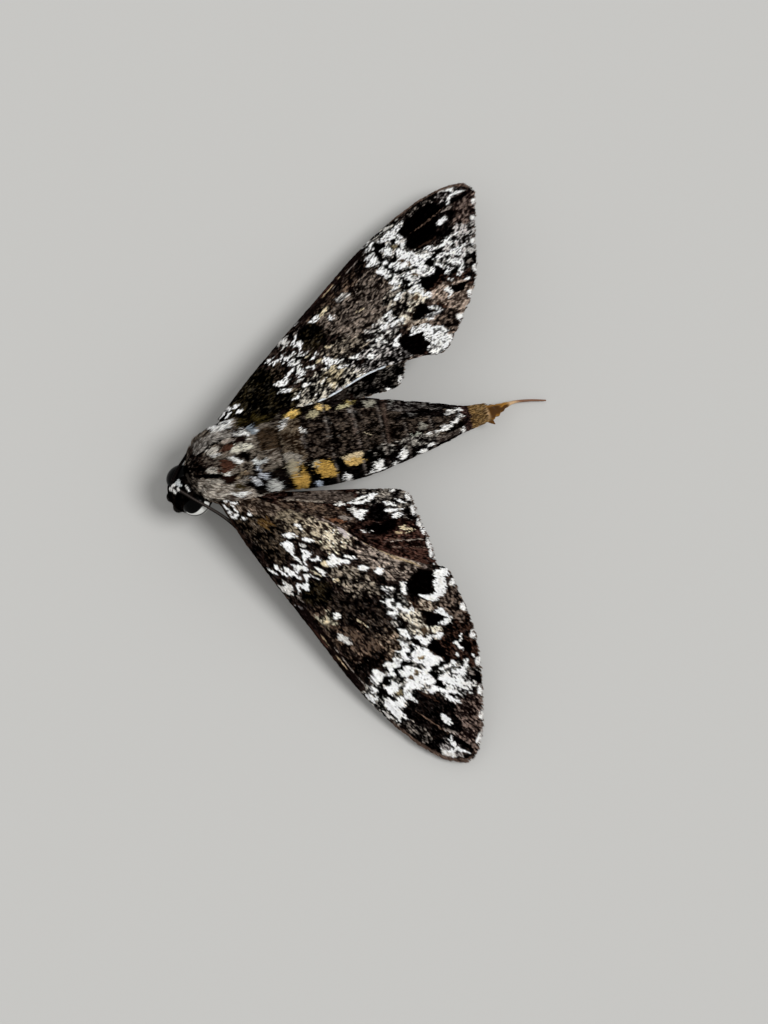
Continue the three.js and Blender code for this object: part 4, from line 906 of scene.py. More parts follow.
def paint_forewing(wing, s, t, seed):
    right = wing.side < 0
    if right:
        pattern_s = s + 0.4 * np.sin(t * 0.7 + 1) + smoothstep(46, 38, s)
        pattern_t = t + 0.4 * np.sin(s * 0.4)
        zones, patches, wear = FORE_ZONES + RIGHT_ZONES, FORE_PATCHES + RIGHT_PATCHES, 0.41
    else:
        pattern_s, pattern_t, zones, patches, wear = s, t, FORE_ZONES, FORE_PATCHES, 0.17
    colour = contrast(paint(pattern_s, pattern_t, zones, patches, FORE_MARKS, seed, wear, streak=1.3))
    to_vein = distance_to(FORE_VEINS, s, t + 0.12 * (noise(s, t, seed + 8) - 0.5))
    broken = window(s, 17, 22, 34, 38) * smoothstep(0.3, 0.6, noise(s * 0.8, t * 0.8, seed + 7))
    colour = blend(colour, SOOT, np.exp(-(to_vein / 0.16) ** 2) * broken * 0.75)
    mottle = noise(s * 1.1, t * 2.2, seed + 30)
    depth, left = wing.edge_distances(s, t)
    # a dark strip along the leading edge, with thin streaks on it
    colour = blend(colour, STRIP_DARK, smoothstep(1.5, 1.2, depth) * window(s, 18, 21, 34, 36))
    for offset, start, end, width, tone in (
        (0.75, 24, 32, 0.1, TAN), (1.25, 26, 36, 0.07, GREY), (0.35, 22, 30, 0.16, STRIP_BROWN),
    ):
        line = smoothstep(width * 1.6, width * 0.6, np.abs(depth - offset))
        line = line * window(s, start, start + 1.5, end - 1.5, end) * smoothstep(0.35, 0.5, mottle)
        colour = blend(colour, tone, line)
    front = smoothstep(0.5, 0.3, depth)
    colour = blend(colour, FRONT_EDGE, front * smoothstep(40.5, 43, s))
    colour = blend(colour, FRONT_EDGE_ROOT, front * smoothstep(9, 7, s) * (0.3 if right else 1))
    if right:
        rim = smoothstep(0.36, 0.22, left) * window(s, 10, 12, 23, 25) * smoothstep(0.3, 0.5, mottle)
        colour = blend(colour, HIND_RIM, rim)
    return add_fringe_spots(colour, FRINGE_SPOTS, s, left, 0.46, 0.6, 0.9 * (mottle - 0.5), 0.8, 1.2)


def paint_hindwing(wing, s, t, seed):
    patches, spots, strength = HIND_PATCHES, HIND_FRINGE_SPOTS, 0.6
    if wing.side > 0:
        patches, spots, strength = patches + HIND_PATCHES_LEFT, spots + HIND_FRINGE_SPOTS_LEFT, 1
    colour = paint(s, t, HIND_ZONES, patches, HIND_MARKS, seed, wear=0.24, teeth=0.6, streak=1.3)
    ragged = 0.5 * (noise(s * 1.7, t * 2.2, seed + 31) - 0.5)
    left = wing.edge_distances(s, t)[1]
    return add_fringe_spots(contrast(colour * strength), spots, s, left, 0.4, 0.5, ragged, 0.9, 1.15)


UNDER_BROWN = (98, 84, 74)
UNDER_BAND = (54, 43, 38)
UNDER_ROOT = (150, 138, 124)


def paint_underside(wing, s, t, seed):
    """Plain brown-grey, paler towards the root, with two faint darker bands."""
    share = s / wing.length
    bands = 0
    for middle, lag, width in ((0.62, 0, 0.018), (0.7, 1, 0.014)):
        bands = bands + np.exp(-((share - middle + 0.02 * np.sin(t * 1.7 + lag)) / width) ** 2)
    tone = blend(even(UNDER_BROWN, s), UNDER_BAND, np.clip(bands, 0, 1) * 0.7)
    tone = blend(tone, UNDER_ROOT, smoothstep(0.35, 0, share) * 0.7)
    return tone * (0.82 + 0.36 * fractal(s * 1.2, t * 3, seed))[..., None]


def wing_skin(name, wing, painter, seed, stations, chord, material):
    """The membrane, as rings from root to tip: over the top from leading to trailing edge and back below."""
    n = np.linspace(0, 1, stations)
    v = np.linspace(0, 1, chord)
    # rings lie closer together near the tip, and their points near both edges
    ring_at = wing.length * (1 - (1 - n) ** 1.25) * 0.997
    point_at = (1 - np.cos(math.pi * v)) / 2 * 0.5 + v * 0.5
    s, v = np.meshgrid(ring_at, point_at, indexing="ij")
    low = wing.costa(s)
    high = wing.trail(s) - 0.35 * smoothstep(wing.length * 0.5, wing.length * 0.6, s)
    t = low + (high - low) * v
    arch, half = wing.relief(s, t)
    rings = np.concatenate([wing.place(s, t, arch + half), wing.place(s, t, arch - half)[:, ::-1]], 1)
    colours = np.concatenate([painter(wing, s, t, seed), paint_underside(wing, s, t, seed + 9)[:, ::-1]], 1)
    columns = 2 * chord
    faces = [grid_faces(stations, columns, wrap=True)]
    for row, flip in ((0, False), (stations - 1, True)):
        ring = row * columns + np.arange(chord)
        back = row * columns + columns - 1 - np.arange(chord)
        cap = np.stack([ring[:-1], ring[1:], back[1:], back[:-1]], -1)
        faces.append(cap[:, ::-1] if flip else cap)
    faces = faces if wing.side > 0 else turned_over(faces)
    return add_piece(name, rings.reshape(-1, 3), faces, material, colours.reshape(-1, 3))


T_RANGE = (-8, 18)  # t before and behind every wing's edges


def scale_roots(wing, step_s, step_t, rng):
    """Staggered rows of roots all over the wing, each a little out of line."""
    rows, columns = np.arange(-0.2, wing.length, step_s), np.arange(*T_RANGE, step_t)
    s, t = np.meshgrid(rows, columns, indexing="ij")
    t = t + (np.arange(s.shape[0])[:, None] % 2) * step_t / 2
    s = s + rng.uniform(-0.4, 0.4, s.shape) * step_s
    t = t + rng.uniform(-0.3, 0.3, s.shape) * step_t
    s, t = s.ravel(), t.ravel()
    behind, before = wing.edge_distances(s, t)
    keep = (behind > 0.02) & (before > 0.08) & (s < wing.length - 0.35)
    return s[keep], t[keep]


def wing_scales(name, wing, painter, seed, step, length, material, below=False):
    """Overlapping scales over one face of a wing, with the fringe at its outer edge."""
    rng = np.random.default_rng(seed)
    coat = Coat()
    s, t = scale_roots(wing, step * 1.35, step * 0.82, rng)
    arch, half = wing.relief(s, t)
    pairs = wing.lie(s, t)
    reach = np.array([0.3, 0.62, 0.95]) * length
    tone = painter(wing, s[:, None] + pairs[:, :1] * reach, t[:, None] + pairs[:, 1:] * reach, seed)
    tone = tone * rng.uniform(0.86, 1.1, (len(s), 1, 1))
    if not below:
        lot = rng.uniform(0, 1, (len(s), 1, 1))
        deeper = (lot < 0.13) & (tone.mean(-1, keepdims=True) < 150)
        tone = np.where(deeper, tone * 0.45, np.where(lot > 0.9, tone * 1.3 + 10, tone))
    face = -1 if below else 1
    coat.add(
        wing.place(s, t, arch + face * (half - 0.02)), wing.turn(pairs), even(wing.normal * face, s),
        length=length * rng.uniform(0.85, 1.2, len(s)), width=step * 1.15, tone=tone, uv=wing.uv(s, t),
        lift=rng.uniform(0.03, 0.1, len(s)), sag=0, roll=rng.normal(0, 0.12, len(s)), depth=0.12,
        root_shade=0.9, tip_shade=1.06, fullness=0.55,
    )
    if not below:
        add_fringe(coat, wing, painter, seed, step, rng)
    return coat.build(name, material)


def add_fringe(coat, wing, painter, seed, step, rng):
    """Longer scales standing out past the trailing edge."""
    for layer in range(3):
        s = np.arange(1, wing.length - 0.2, step * 0.45) + rng.uniform(-0.1, 0.1)
        slope = (wing.trail(s + 0.2) - wing.trail(s - 0.2)) / 0.4
        outward = unit(np.stack([np.maximum(-slope, 0.05) + 0.55, np.ones_like(s)], -1))
        t = wing.trail(s) - 0.55 - 0.1 * layer
        arch, half = wing.relief(s, t)
        length = 0.5 + 0.25 * smoothstep(wing.length * 0.5, wing.length * 0.7, s)
        length = length * rng.uniform(0.8, 1.1, len(s))
        tone = painter(wing, s, t + 0.2, seed) * rng.uniform(0.85, 1.1, (len(s), 1))
        coat.add(
            wing.place(s, t, arch + (half - 0.05) * (1 - layer)), wing.turn(outward), even(wing.normal, s),
            length=length, width=step * 0.8, tone=tone, uv=wing.uv(s, t), lift=0.03,
            curl=rng.normal(0, 0.12, len(s)), depth=0.2, root_shade=0.9, tip_shade=1.05, fullness=0.7,
        )


# ---- materials ----
def set_inputs(node, values):
    for name, value in values.items():
        node.inputs[name].default_value = value


def new_material(name, roughness, specular):
    material = bpy.data.materials.new(name)
    material.use_nodes = True
    shader = material.node_tree.nodes["Principled BSDF"]
    set_inputs(shader, {"Roughness": roughness, "Specular IOR Level": specular})
    return material, material.node_tree, shader


def coat_material(name, roughness=0.75, specular=0.0, grain=9000, bump=0.3):
    """A finish that takes its colour from the painted markings, with a fine grain over it."""
    material, tree, shader = new_material(name, roughness, specular)
    painted = tree.nodes.new("ShaderNodeVertexColor")
    painted.layer_name = "Coat"
    place = tree.nodes.new("ShaderNodeTexCoord")
    speckle = tree.nodes.new("ShaderNodeTexNoise")
    set_inputs(speckle, {"Scale": grain, "Detail": 2})
    spread = tree.nodes.new("ShaderNodeMapRange")
    set_inputs(spread, {"To Min": 0.82, "To Max": 1.16})
    tinted = tree.nodes.new("ShaderNodeVectorMath")
    tinted.operation = "SCALE"
    relief = tree.nodes.new("ShaderNodeBump")
    set_inputs(relief, {"Strength": bump, "Distance": 0.00005})
    for source, output, target, socket in (
        (place, "Object", speckle, "Vector"), (speckle, "Fac", spread, "Value"),
        (painted, "Color", tinted, "Vector"), (spread, "Result", tinted, "Scale"),
        (tinted, "Vector", shader, "Base Color"), (speckle, "Fac", relief, "Height"),
        (relief, "Normal", shader, "Normal"),
    ):
        tree.links.new(source.outputs[output], target.inputs[socket])
    return material


# ---- body: markings in (y, a), a being mm round from the middle of the back, positive on the left ----
ARC_PER_RADIAN = 6.53  # mm of a to each radian round the body
BELLY_MIDDLE = 20.5  # a at the middle of the belly

BODY_ZONES = [
    ((50, 41, 35), (112, 100, 88), 0.5, [(-8, -21), (42, -21), (42, 21), (-8, 21)]),
    ((26, 20, 17), (128, 118, 106), 0.45, [(-8, -9), (9, -9), (9, 9), (-8, 9)]),
    (BLACK, (30, 24, 21), 0.4, [(-8, -9), (-6.3, -9), (-6.3, 9), (-8, 9)]),
    ((16, 12, 11), (112, 102, 92), 0.42, [(-6.4, -7), (-5.7, -7), (-5.7, 7), (-6.4, 7)]),
    ((8, 5, 5), (56, 46, 40), 0.34, [(-5.7, -6.5), (-3.9, -2.4), (-3.9, 2.6), (-5.7, 3), (-5.9, 6.5)]),
    ((26, 19, 17), (104, 94, 84), 0.42, [(-4, -2.4), (-2.4, -2.4), (-1.8, 2.6), (-4, 2.6)]),
    ((82, 77, 72), (184, 178, 170), 0.46, [(-5.1, -5.5), (0.4, -5.4), (0.7, -3), (-1.9, -2.9),
        (-3.4, -2.3), (-5, -2.6)]),
    ((112, 102, 92), (204, 196, 184), 0.5, [(-5.6, 3.2), (-3, 3), (-1.8, 3.6), (-1.4, 4.5), (0.4, 4.8),
        (0.5, 6.5), (-1.6, 6.8), (-2.6, 7.8), (-4.6, 7.9), (-5.7, 6)]),
    ((58, 46, 40), (176, 166, 154), 0.4, [(-1.2, 6.6), (2.4, 6.2), (6, 8), (6, 12), (-2.4, 12)]),
    (BLACK, (26, 20, 16), 0.34, [(2.4, 5.4), (5, 4.2), (8.4, 3.6), (8.4, 10.5), (3, 9)]),
    ((10, 8, 5), (72, 62, 34), 0.3, [(2, -4.2), (5, -4), (8.2, -5.2), (8.4, -12), (2, -12)]),
    ((20, 14, 9), (70, 57, 44), 0.42, [(4.6, -3), (6.4, -3.4), (8, -2.6), (8, 0.6), (6.2, 0.8),
        (4.8, 0.4)]),
    ((52, 43, 36), (156, 146, 134), 0.5, [(5.8, 0.8), (7.5, 0.7), (7.6, 3.3), (6.4, 3.7), (5.9, 2.4)]),
    ((38, 28, 20), (114, 101, 85), 0.42, [(7.9, -3.4), (11.6, -3.6), (11.6, 3.6), (7.9, 3.6)]),
    ((12, 8, 6), (84, 73, 64), 0.32, [(11.4, -3.9), (36, -3.4), (36, 3.5), (11.4, 3.9)]),
    ((4, 3, 3), (20, 15, 13), 0.2, [(8.4, 3.8), (20.4, 3.8), (24, 5), (36.6, 5), (36.6, 11), (8.4, 11)]),
    (BLACK, (28, 22, 20), 0.22, [(8.4, -3.8), (20.4, -4), (24, -4.4), (36.6, -3.6), (36.6, -11),
        (8.4, -11)]),
    ((10, 7, 6), (176, 170, 160), 0.3, [(20.5, 3.4), (24, 3.3), (25.4, 5.6), (21.4, 5.6)]),
    ((14, 10, 9), (178, 172, 162), 0.34, [(24.5, 3.3), (29, 3.1), (32, 3.4), (31, 6), (25, 6.8)]),
    ((44, 37, 34), (118, 108, 100), 0.4, [(31, 5.2), (36, 5.2), (36, 8.5), (31, 8.5)]),
    ((16, 12, 11), (104, 98, 94), 0.28, [(24.5, -3.2), (33, -2.6), (33, -6.4), (25, -7)]),
    ((6, 4, 4), (22, 17, 16), 0.3, [(29.6, -3.6), (33.2, -3.6), (33.4, -0.9), (30, -1.3), (25.4, -0.8),
        (25.4, -1.6)]),
    ((20, 14, 15), (74, 54, 49), 0.4, [(35.7, -21), (37.2, -21), (37.2, 21), (35.7, 21)]),
    ((80, 61, 40), (148, 118, 76), 0.5, [(37.1, -21), (42, -21), (42, 21), (37.1, 21)]),
]

# Crisp patches of the thorax and the first abdomen segment.
BODY_PATCHES = [
    # black lines that bound the shoulder pads
    (BLACK, [
        [(-5.7, 2.1), (-3.8, 2.2), (-2.2, 2.3), (-1.2, 3.1), (-2, 3.4), (-3.4, 3.1), (-5.7, 2.7)],
        [(-4.5, -2.3), (-3.4, -2.6), (-2, -3.3), (0.2, -3.2), (0.2, -2.9), (-1.8, -2.8), (-3.2, -2.1),
         (-4.2, -1.9)],
    ]),
    # right of the middle
    ((206, 200, 190), [
        [(-3.3, -2.2), (-2.4, -2.5), (-1.5, -2.1), (-1.1, -1.3), (-1.9, -0.9), (-2.9, -1.3)],
    ]),
    (WHITE, [[(-2.7, -0.9), (-1.6, -1.1), (-1.2, -0.5), (-2.1, -0.2)]]),
    ((168, 156, 146), [[(-0.8, -2.8), (0.3, -3), (1.2, -2.6), (0.9, -2.1), (-0.4, -2.1)]]),
    (RUST, [[(-1, -1), (-0.5, -1.7), (0.3, -1.95), (1.3, -1.6), (1.1, -1.1), (0.1, -0.7), (-0.6, -0.6)]]),
    ((214, 209, 194), [
        [(0.3, -0.8), (1.4, -1.3), (2.6, -1.4), (3.9, -0.9), (3.8, -0.2), (2.4, -0.1), (1.2, -0.2),
         (0.3, -0.3)],
    ]),
    (WHITE, [
        [(1.1, -3.4), (1.8, -3.9), (2.4, -3.9), (2.7, -4.6), (2.9, -4.5), (2.8, -3.8), (3.8, -2.9),
         (3.6, -2.4), (2.8, -2.8), (2, -3.1), (1.3, -3)],
    ]),
    ((214, 208, 198), [[(3.1, -2.3), (3.6, -2.2), (3.8, -1.8), (3.2, -1.8)]]),
    ((130, 138, 144), [[(3.3, -4), (3.9, -4.4), (4.9, -4), (5, -2.9), (4.2, -2.4), (3.7, -3)]]),
    ((220, 226, 230), [[(4.3, -3.1), (4.9, -3.8), (4.9, -3.1), (4.5, -2.7)]]),
    ((30, 20, 18), [[(1, -2.2), (2.9, -2.5), (3, -1.9), (1.6, -1.6)]]),
    # left of the middle
    (RUST, [
        [(-1.5, 0.4), (-0.4, 0.4), (0.2, 1.1), (0.9, 1.9), (0.5, 2.4), (-0.8, 2.6), (-1.9, 2.3),
         (-1.5, 1.4)],
    ]),
    (WHITE, [[(-0.3, 0.2), (0.5, 0.3), (1.3, 0.9), (1.95, 1.5), (1.5, 1.9), (0.8, 1.4), (0.2, 0.7)]]),
    ((198, 191, 180), [[(-3.9, 1.2), (-3, 1.1), (-2, 1.5), (-2.1, 2.3), (-3, 2.4), (-3.6, 1.9)]]),
    ((226, 222, 212), [[(-1.6, 2.5), (-0.6, 2.7), (0.1, 2.8), (-0.2, 3.2), (-1.2, 3.2)]]),
    (BLACK, [[(2, 0), (3, 0.1), (3.2, 0.8), (2.6, 1.5), (2, 1), (1.4, 0.6)]]),
    ((36, 23, 18), [[(-1.7, 3.3), (0.6, 3.3), (0.5, 4.1), (-1.3, 4.7)]]),
    ((158, 140, 116), [[(0.3, 3.7), (1.2, 3.1), (2.3, 2.8), (1.5, 3.4), (0.5, 4)]]),
    ((122, 104, 84), [[(1.6, 3.2), (2.4, 3), (2.2, 3.9), (1.7, 3.9)]]),
    ((66, 56, 36), [[(-0.2, 4.8), (0.9, 4.7), (1.2, 5.6), (0, 5.9)]]),
    ((150, 144, 136), [[(0.8, 4.4), (2.1, 3.9), (2, 4.6), (1.1, 5)]]),
    (WHITE, [[(-0.9, 6.3), (0, 6.1), (1.9, 6.4), (1.7, 6.9), (0.6, 7.4), (-0.4, 7)]]),
    # pale hind edge of the right shoulder, streaked
    (WHITE, [
        [(-2.4, -8.5), (-2.2, -6.5), (-1.6, -5.2), (-0.4, -4.7), (0.8, -4.8), (1.4, -5.6), (1.6, -7),
         (1.5, -8.5)],
    ]),
    (BLACK, [
        [(-1.2, -8.5), (-1, -6.3), (-0.6, -6.3), (-0.5, -8.5)],
        [(0.2, -8.5), (0, -6), (0.5, -6), (0.9, -8.5)],
    ]),
    # tuft at the left rear corner
    (BLACK, [
        [(1.6, 4.9), (2.7, 4.8), (2.7, 5.9), (1.7, 5.9)],
        [(3, 2.5), (3.5, 2.7), (3.5, 4), (3, 4.2)],
        [(2.3, 6), (4, 6), (3.9, 7.2), (2.6, 7)],
    ]),
    ((232, 235, 240), [
        [(2.2, 4.6), (3.1, 4.2), (3.8, 5), (3.7, 6.2), (3.3, 6.3), (3.1, 5.3), (2.8, 4.8), (2.3, 5)],
    ]),
    ((196, 200, 208), [
        [(3.4, 2.4), (4, 3), (4.2, 3.8), (4.8, 4.4), (4.8, 5.3), (4.3, 5.4), (4.2, 4.7), (3.7, 4.2),
         (3.6, 3.3)],
    ]),
    ((196, 198, 196), [
        [(3.2, 1.6), (3.8, 1.3), (4.2, 2), (5.6, 1.9), (5.8, 2.3), (4.6, 2.8), (3.6, 2.5)],
    ]),
    ((188, 188, 184), [
        [(4.5, 6.1), (5.2, 5.8), (5.8, 5.5), (6.4, 6.8), (6.9, 9.4), (5.2, 9.4), (4.6, 7.4)],
    ]),
    # first abdomen segment
    (WHITE, [[(8.1, -2.2), (8.7, -3.6), (9.4, -4.5), (9.9, -4.2), (9.6, -3.2), (9.2, -2.5)]]),
    ((156, 149, 138), [[(8, 1.9), (9.4, 1.8), (10.6, 2.6), (10.8, 3.9), (9.6, 3.9), (8.1, 3.3)]]),
    (BLACK, [[(7.7, -2.4), (8, -2.4), (8.1, 0), (8, 3.8), (7.6, 3.8), (7.7, 0)]]),
]

# Marks of the abdomen. A tilt above 0 turns the tail end of a mark towards the left.
BODY_MARKS = [
    # left: gold spots, the first two pale in front
    ((172, 162, 138), 8.9, 4.9, 0.7, 1.7, 4), (GOLD, 9.9, 7.6, 1.05, 3, 4),
    ((178, 168, 144), 12.5, 4.4, 0.65, 0.8, 0), (GOLD, 13.8, 5.6, 1.4, 1.85, -16),
    (PALE_GOLD, 18, 4.3, 1.5, 0.75, 0), ((196, 163, 101), 18.3, 5.2, 1.4, 0.7, 0),
    # right: paler
    ((226, 190, 113), 10.7, -4.9, 1, 0.8, -18), ((150, 122, 62), 10.4, -4, 0.4, 0.4, 0),
    ((168, 158, 128), 13.7, -3.9, 0.9, 0.7, -35), ((221, 190, 127), 15.1, -5.1, 0.95, 0.95, -30),
    ((178, 170, 134), 18.3, -4.7, 1.3, 0.5, -24), ((150, 134, 84), 19.5, -6.4, 0.6, 1.5, 0),
    ((150, 146, 132), 22.3, -5.4, 0.7, 1.3, 24),
    # flecks and thin lines down the middle
    (WHITE, 11.6, -1.2, 0.35, 0.4, -30), ((110, 102, 96), 11.4, 0.4, 0.22, 1.1, 0),
    ((150, 146, 140), 15.6, -2.2, 0.2, 0.5, 10), ((150, 148, 142), 15.8, 0.6, 0.8, 0.16, 0),
    (CREAM, 21, 0.8, 0.22, 0.16, 0), ((140, 136, 132), 19.3, -3.4, 0.5, 0.35, 0),
    ((104, 90, 82), 19.4, 0.4, 0.22, 2.4, 0), ((96, 93, 90), 28.2, -2.2, 0.5, 0.4, -30),
    ((176, 178, 164), 28, 3, 1, 0.3, -8), ((138, 134, 124), 29.5, 1.2, 0.5, 0.8, 0),
    (BLACK, 16.2, 0.4, 0.2, 2.6, 0),
    # pale bars low on the sides
    ((176, 186, 200), 12.2, 9.4, 0.5, 1.5, 0), (WHITE, 16.7, 9.3, 0.5, 1.8, 0),
    (WHITE, 21.6, 7.4, 0.75, 1.2, 16), (WHITE, 21.2, 9.4, 1.4, 0.6, 0), (WHITE, 25.7, 7.2, 0.65, 1.5, 12),
    (WHITE, 24.2, 9.4, 0.4, 1.2, 0), (WHITE, 28.8, 9.4, 0.65, 1.4, 0), (WHITE, 30.2, 7.5, 0.8, 0.8, 24),
    ((148, 146, 140), 12.9, -9, 0.3, 1.8, 0), ((150, 148, 142), 25.7, -7.4, 0.22, 2, 8),
    ((132, 130, 126), 28.4, -7.6, 0.22, 2, 8), ((120, 118, 114), 30.6, -7.4, 0.2, 1.8, 8),
    (WHITE, 35.5, 7.4, 0.22, 2.6, 0),
    # white streaks meeting before the tail, and the black between them
    (BLACK, 34.4, 4.2, 1.6, 1.1, -20), (WHITE, 31.4, 3.6, 1.2, 0.32, 0), (WHITE, 33.1, 3.1, 0.8, 0.9, 0),
    (WHITE, 34.4, 1.7, 1.5, 0.42, -56), (WHITE, 35.5, -0.4, 0.24, 1.3, 8),
    (WHITE, 34.3, -2.7, 0.55, 1.4, 10), (WHITE, 33.5, -1.7, 0.2, 0.7, 0), (WHITE, 35.6, -4, 0.26, 1.4, 0),
]


def body_offset(place):
    """Place across and up from the body's middle line, in units of its half width and half height."""
    y = place[..., 1]
    return (place[..., 0] - body_x(y)) / body_half_width(y), (place[..., 2] - body_z(y)) / body_half_height(y)


def body_angle(place):
    """Angle round the body of each point: 0 at the moth's left, a quarter turn at the back."""
    across, up = body_offset(place)
    return np.arctan2(up, across)


def arc(angle):
    """The body's a for an angle round it."""
    turned = (math.pi / 2 - angle + math.pi) % (2 * math.pi) - math.pi
    return turned * ARC_PER_RADIAN


def segment_share(y):
    """How far y lies along its abdomen segment, from 0 in front to 1 behind, and 0 before the first."""
    joints = np.array(ABDOMEN_JOINTS)
    i = np.clip(np.searchsorted(joints, y) - 1, 0, len(joints) - 2)
    share = np.clip((y - joints[i]) / (joints[i + 1] - joints[i]), 0, 1)
    return np.where(y < joints[0], 0, share)


SEGMENT_EDGE = (112, 104, 98)
SEGMENT_SEAM = (90, 74, 66)
SEGMENT_FOLD = (8, 6, 6)
BELLY_BROWN = (92, 80, 70)
BELLY_PALE = (150, 138, 122)
BELLY_STREAK = (226, 220, 208)


def paint_body(y, a, seed=31):
    colour = paint(
        y, a, BODY_ZONES, BODY_PATCHES, BODY_MARKS, seed,
        wear=0.32, teeth=0.4, grain=1.05, spread=0.16, fray=1.3,
    )
    on_abdomen = window(y, 11, 12, 34, 35)
    fleck = noise(y * 1.5, a * 2.2, seed + 40)
    # pale hind edges of the segments, a brown seam across the fifth, and a dark fold at each one's front
    edge = smoothstep(0.86, 0.97, segment_share(y)) * on_abdomen * smoothstep(0.25, 0.6, fleck)
    colour = blend(colour, SEGMENT_EDGE, edge * 0.85)
    seam = np.exp(-((y - 24 + 0.05 * a) / (0.3 - 0.03 * a)) ** 2) * smoothstep(4, 3, a)
    colour = blend(colour, SEGMENT_SEAM, seam * smoothstep(0.1, 0.4, fleck) * 0.85)
    fold = smoothstep(0.1, 0.02, segment_share(y)) * on_abdomen
    colour = blend(colour, SEGMENT_FOLD, fold * 0.85)
    under = blend(even(BELLY_BROWN, y), BELLY_PALE, fractal(y * 0.9, a * 1.2, seed + 41) * 0.8)
    middle_streak = smoothstep(1.1, 0.6, np.abs(np.abs(a) - BELLY_MIDDLE))
    under = blend(under, BELLY_STREAK, middle_streak * on_abdomen * fleck)
    return blend(colour, under, smoothstep(10.5, 12, np.abs(a)))


def tegula_rise(place):
    """Extra height of the two shoulder pads."""
    offsets = np.stack([np.abs(place[..., 0]), place[..., 1], place[..., 2]], -1) - np.array(TEGULA_CENTRE)
    reach = np.linalg.norm(offsets / np.array(TEGULA_RADII), axis=-1)
    return TEGULA_RISE * smoothstep(1.08, 0.86, reach) - 0.25 * np.exp(-((reach - 1.06) / 0.07) ** 2)


def body_place(y, angle, lift=0.0):
    flat = np.where(np.sin(angle) < 0, BELLY_FLATTENING, 1)
    x = body_x(y) + np.cos(angle) * (body_half_width(y) + lift)
    z = body_z(y) + np.sin(angle) * (body_half_height(y) + lift) * flat
    return np.stack([x, y + 0 * x, z], -1)


FUR_DEPTH = 0.55  # how deep the skin lies in the solids under the thorax's fur
SCALES_LESS = 0.43  # and how much less under the abdomen's scales
STEP_HEIGHT = 0.16  # of each segment's hind edge over the front of the next
UNEVEN_HEIGHT = 0.35


def skin_lift(y, angle):
    """How far the skin lies off the solids' surface, for the coat's depth, the segments' steps, some
    unevenness and the shoulder pads."""
    depth = FUR_DEPTH - SCALES_LESS * smoothstep(7, 10, y)
    step = STEP_HEIGHT * (1 - smoothstep(0, 0.55, segment_share(y))) * window(y, 8, 9, 34, 36)
    uneven = UNEVEN_HEIGHT * (fractal(y * 0.35, arc(angle) * 0.35, 53) - 0.5) * smoothstep(10, 7, y)
    return uneven - depth - step + tegula_rise(body_place(y, angle))


def skin_place(y, angle):
    return body_place(y, angle, skin_lift(y, angle))


def surface_frame(place_at, y, angle):
    """Points, tailward directions and outward normals of a surface given by place_at(y, angle)."""
    d = 0.02
    lie = unit(place_at(y + d, angle) - place_at(y - d, angle))
    round_it = unit(place_at(y, angle + d) - place_at(y, angle - d))
    return place_at(y, angle), lie, unit(np.cross(lie, round_it))


# ---- head ----
HEAD_TURN = np.array([
    [math.cos(HEAD_YAW), -math.sin(HEAD_YAW), 0], [math.sin(HEAD_YAW), math.cos(HEAD_YAW), 0], [0, 0, 1],
])
head_half_width = smooth(HEAD_HALF_WIDTH)
head_half_height = smooth(HEAD_HALF_HEIGHT)
SCALE_GREY = (196, 196, 192)

# Marks of the head, in its own frame: tone, place, radii.
HEAD_MARKS = [
    ((74, 68, 62), (0, 1.2, 3.3), (3, 0.3, 1)), (WHITE, (-1.35, -2, 2.2), (0.42, 0.26, 1.2)),
    (WHITE, (-1.5, -1.35, 2.6), (0.3, 0.42, 1.2)), (WHITE, (-0.6, -1.75, 2.6), (0.5, 0.24, 1.2)),
    (WHITE, (-0.5, -1.05, 3), (0.34, 0.26, 1)), (WHITE, (0.22, 0.16, 3.2), (0.62, 0.13, 0.8)),
    (SCALE_GREY, (3.7, 0.2, -0.9), (1.1, 1.9, 1.15)), (WHITE, (2.6, -1.6, -0.9), (0.9, 0.6, 0.8)),
    (SCALE_GREY, (-3.7, 0.2, -0.9), (1.1, 1.9, 1.15)), (WHITE, (-2.6, -1.6, -0.9), (0.9, 0.6, 0.8)),
]
# Pale patch on top of the head, on its right, in the head's x and y.
PALE_PATCH = [(-2.4, -0.1), (-1.5, -0.15), (-0.55, -0.35), (-0.85, -0.9), (-2.05, -1.05)]
HEAD_TOP = 1.5  # z in the head's frame above which the patch shows
PATCH_TONE = (206, 210, 210)
FACE_BLACK = (8, 6, 6)
FACE_BROWN = (40, 34, 30)
CHIN_GREY = (122, 112, 102)


def from_head(local):
    return np.asarray(local) @ HEAD_TURN.T + np.array(HEAD_CENTRE)


def to_head(place):
    return (np.asarray(place) - np.array(HEAD_CENTRE)) @ HEAD_TURN


def head_place(y, angle, lift=-0.35):
    across = np.cos(angle) * (head_half_width(y) + lift)
    up = np.sin(angle) * (head_half_height(y) + lift)
    return from_head(np.stack([across, y + 0 * angle, up], -1))


def ellipsoid_reach(place, centre, radii):
    """Distance from an ellipsoid's centre, in units of its radii."""
    return np.linalg.norm((place - np.array(centre)) / np.array(radii), axis=-1)


def paint_head(place, seed=61):
    local = to_head(place)
    x, y, z = local[..., 0], local[..., 1], local[..., 2]
    mottle = fractal(x * 1.6 + z, y * 2.4, seed)
    colour = blend(even(FACE_BLACK, x), FACE_BROWN, smoothstep(0.5, 0.8, mottle) * 0.8)
    colour = blend(colour, CHIN_GREY, smoothstep(-1.4, -2.4, z) * (0.4 + 0.6 * mottle))
    for tone, centre, radii in HEAD_MARKS:
        ragged = ellipsoid_reach(local, centre, radii) + 0.35 * (mottle - 0.5)
        colour = blend(colour, tone, smoothstep(1.1, 0.9, ragged))
    return blend(colour, PATCH_TONE, inside(PALE_PATCH, x, y) * (z > HEAD_TOP))


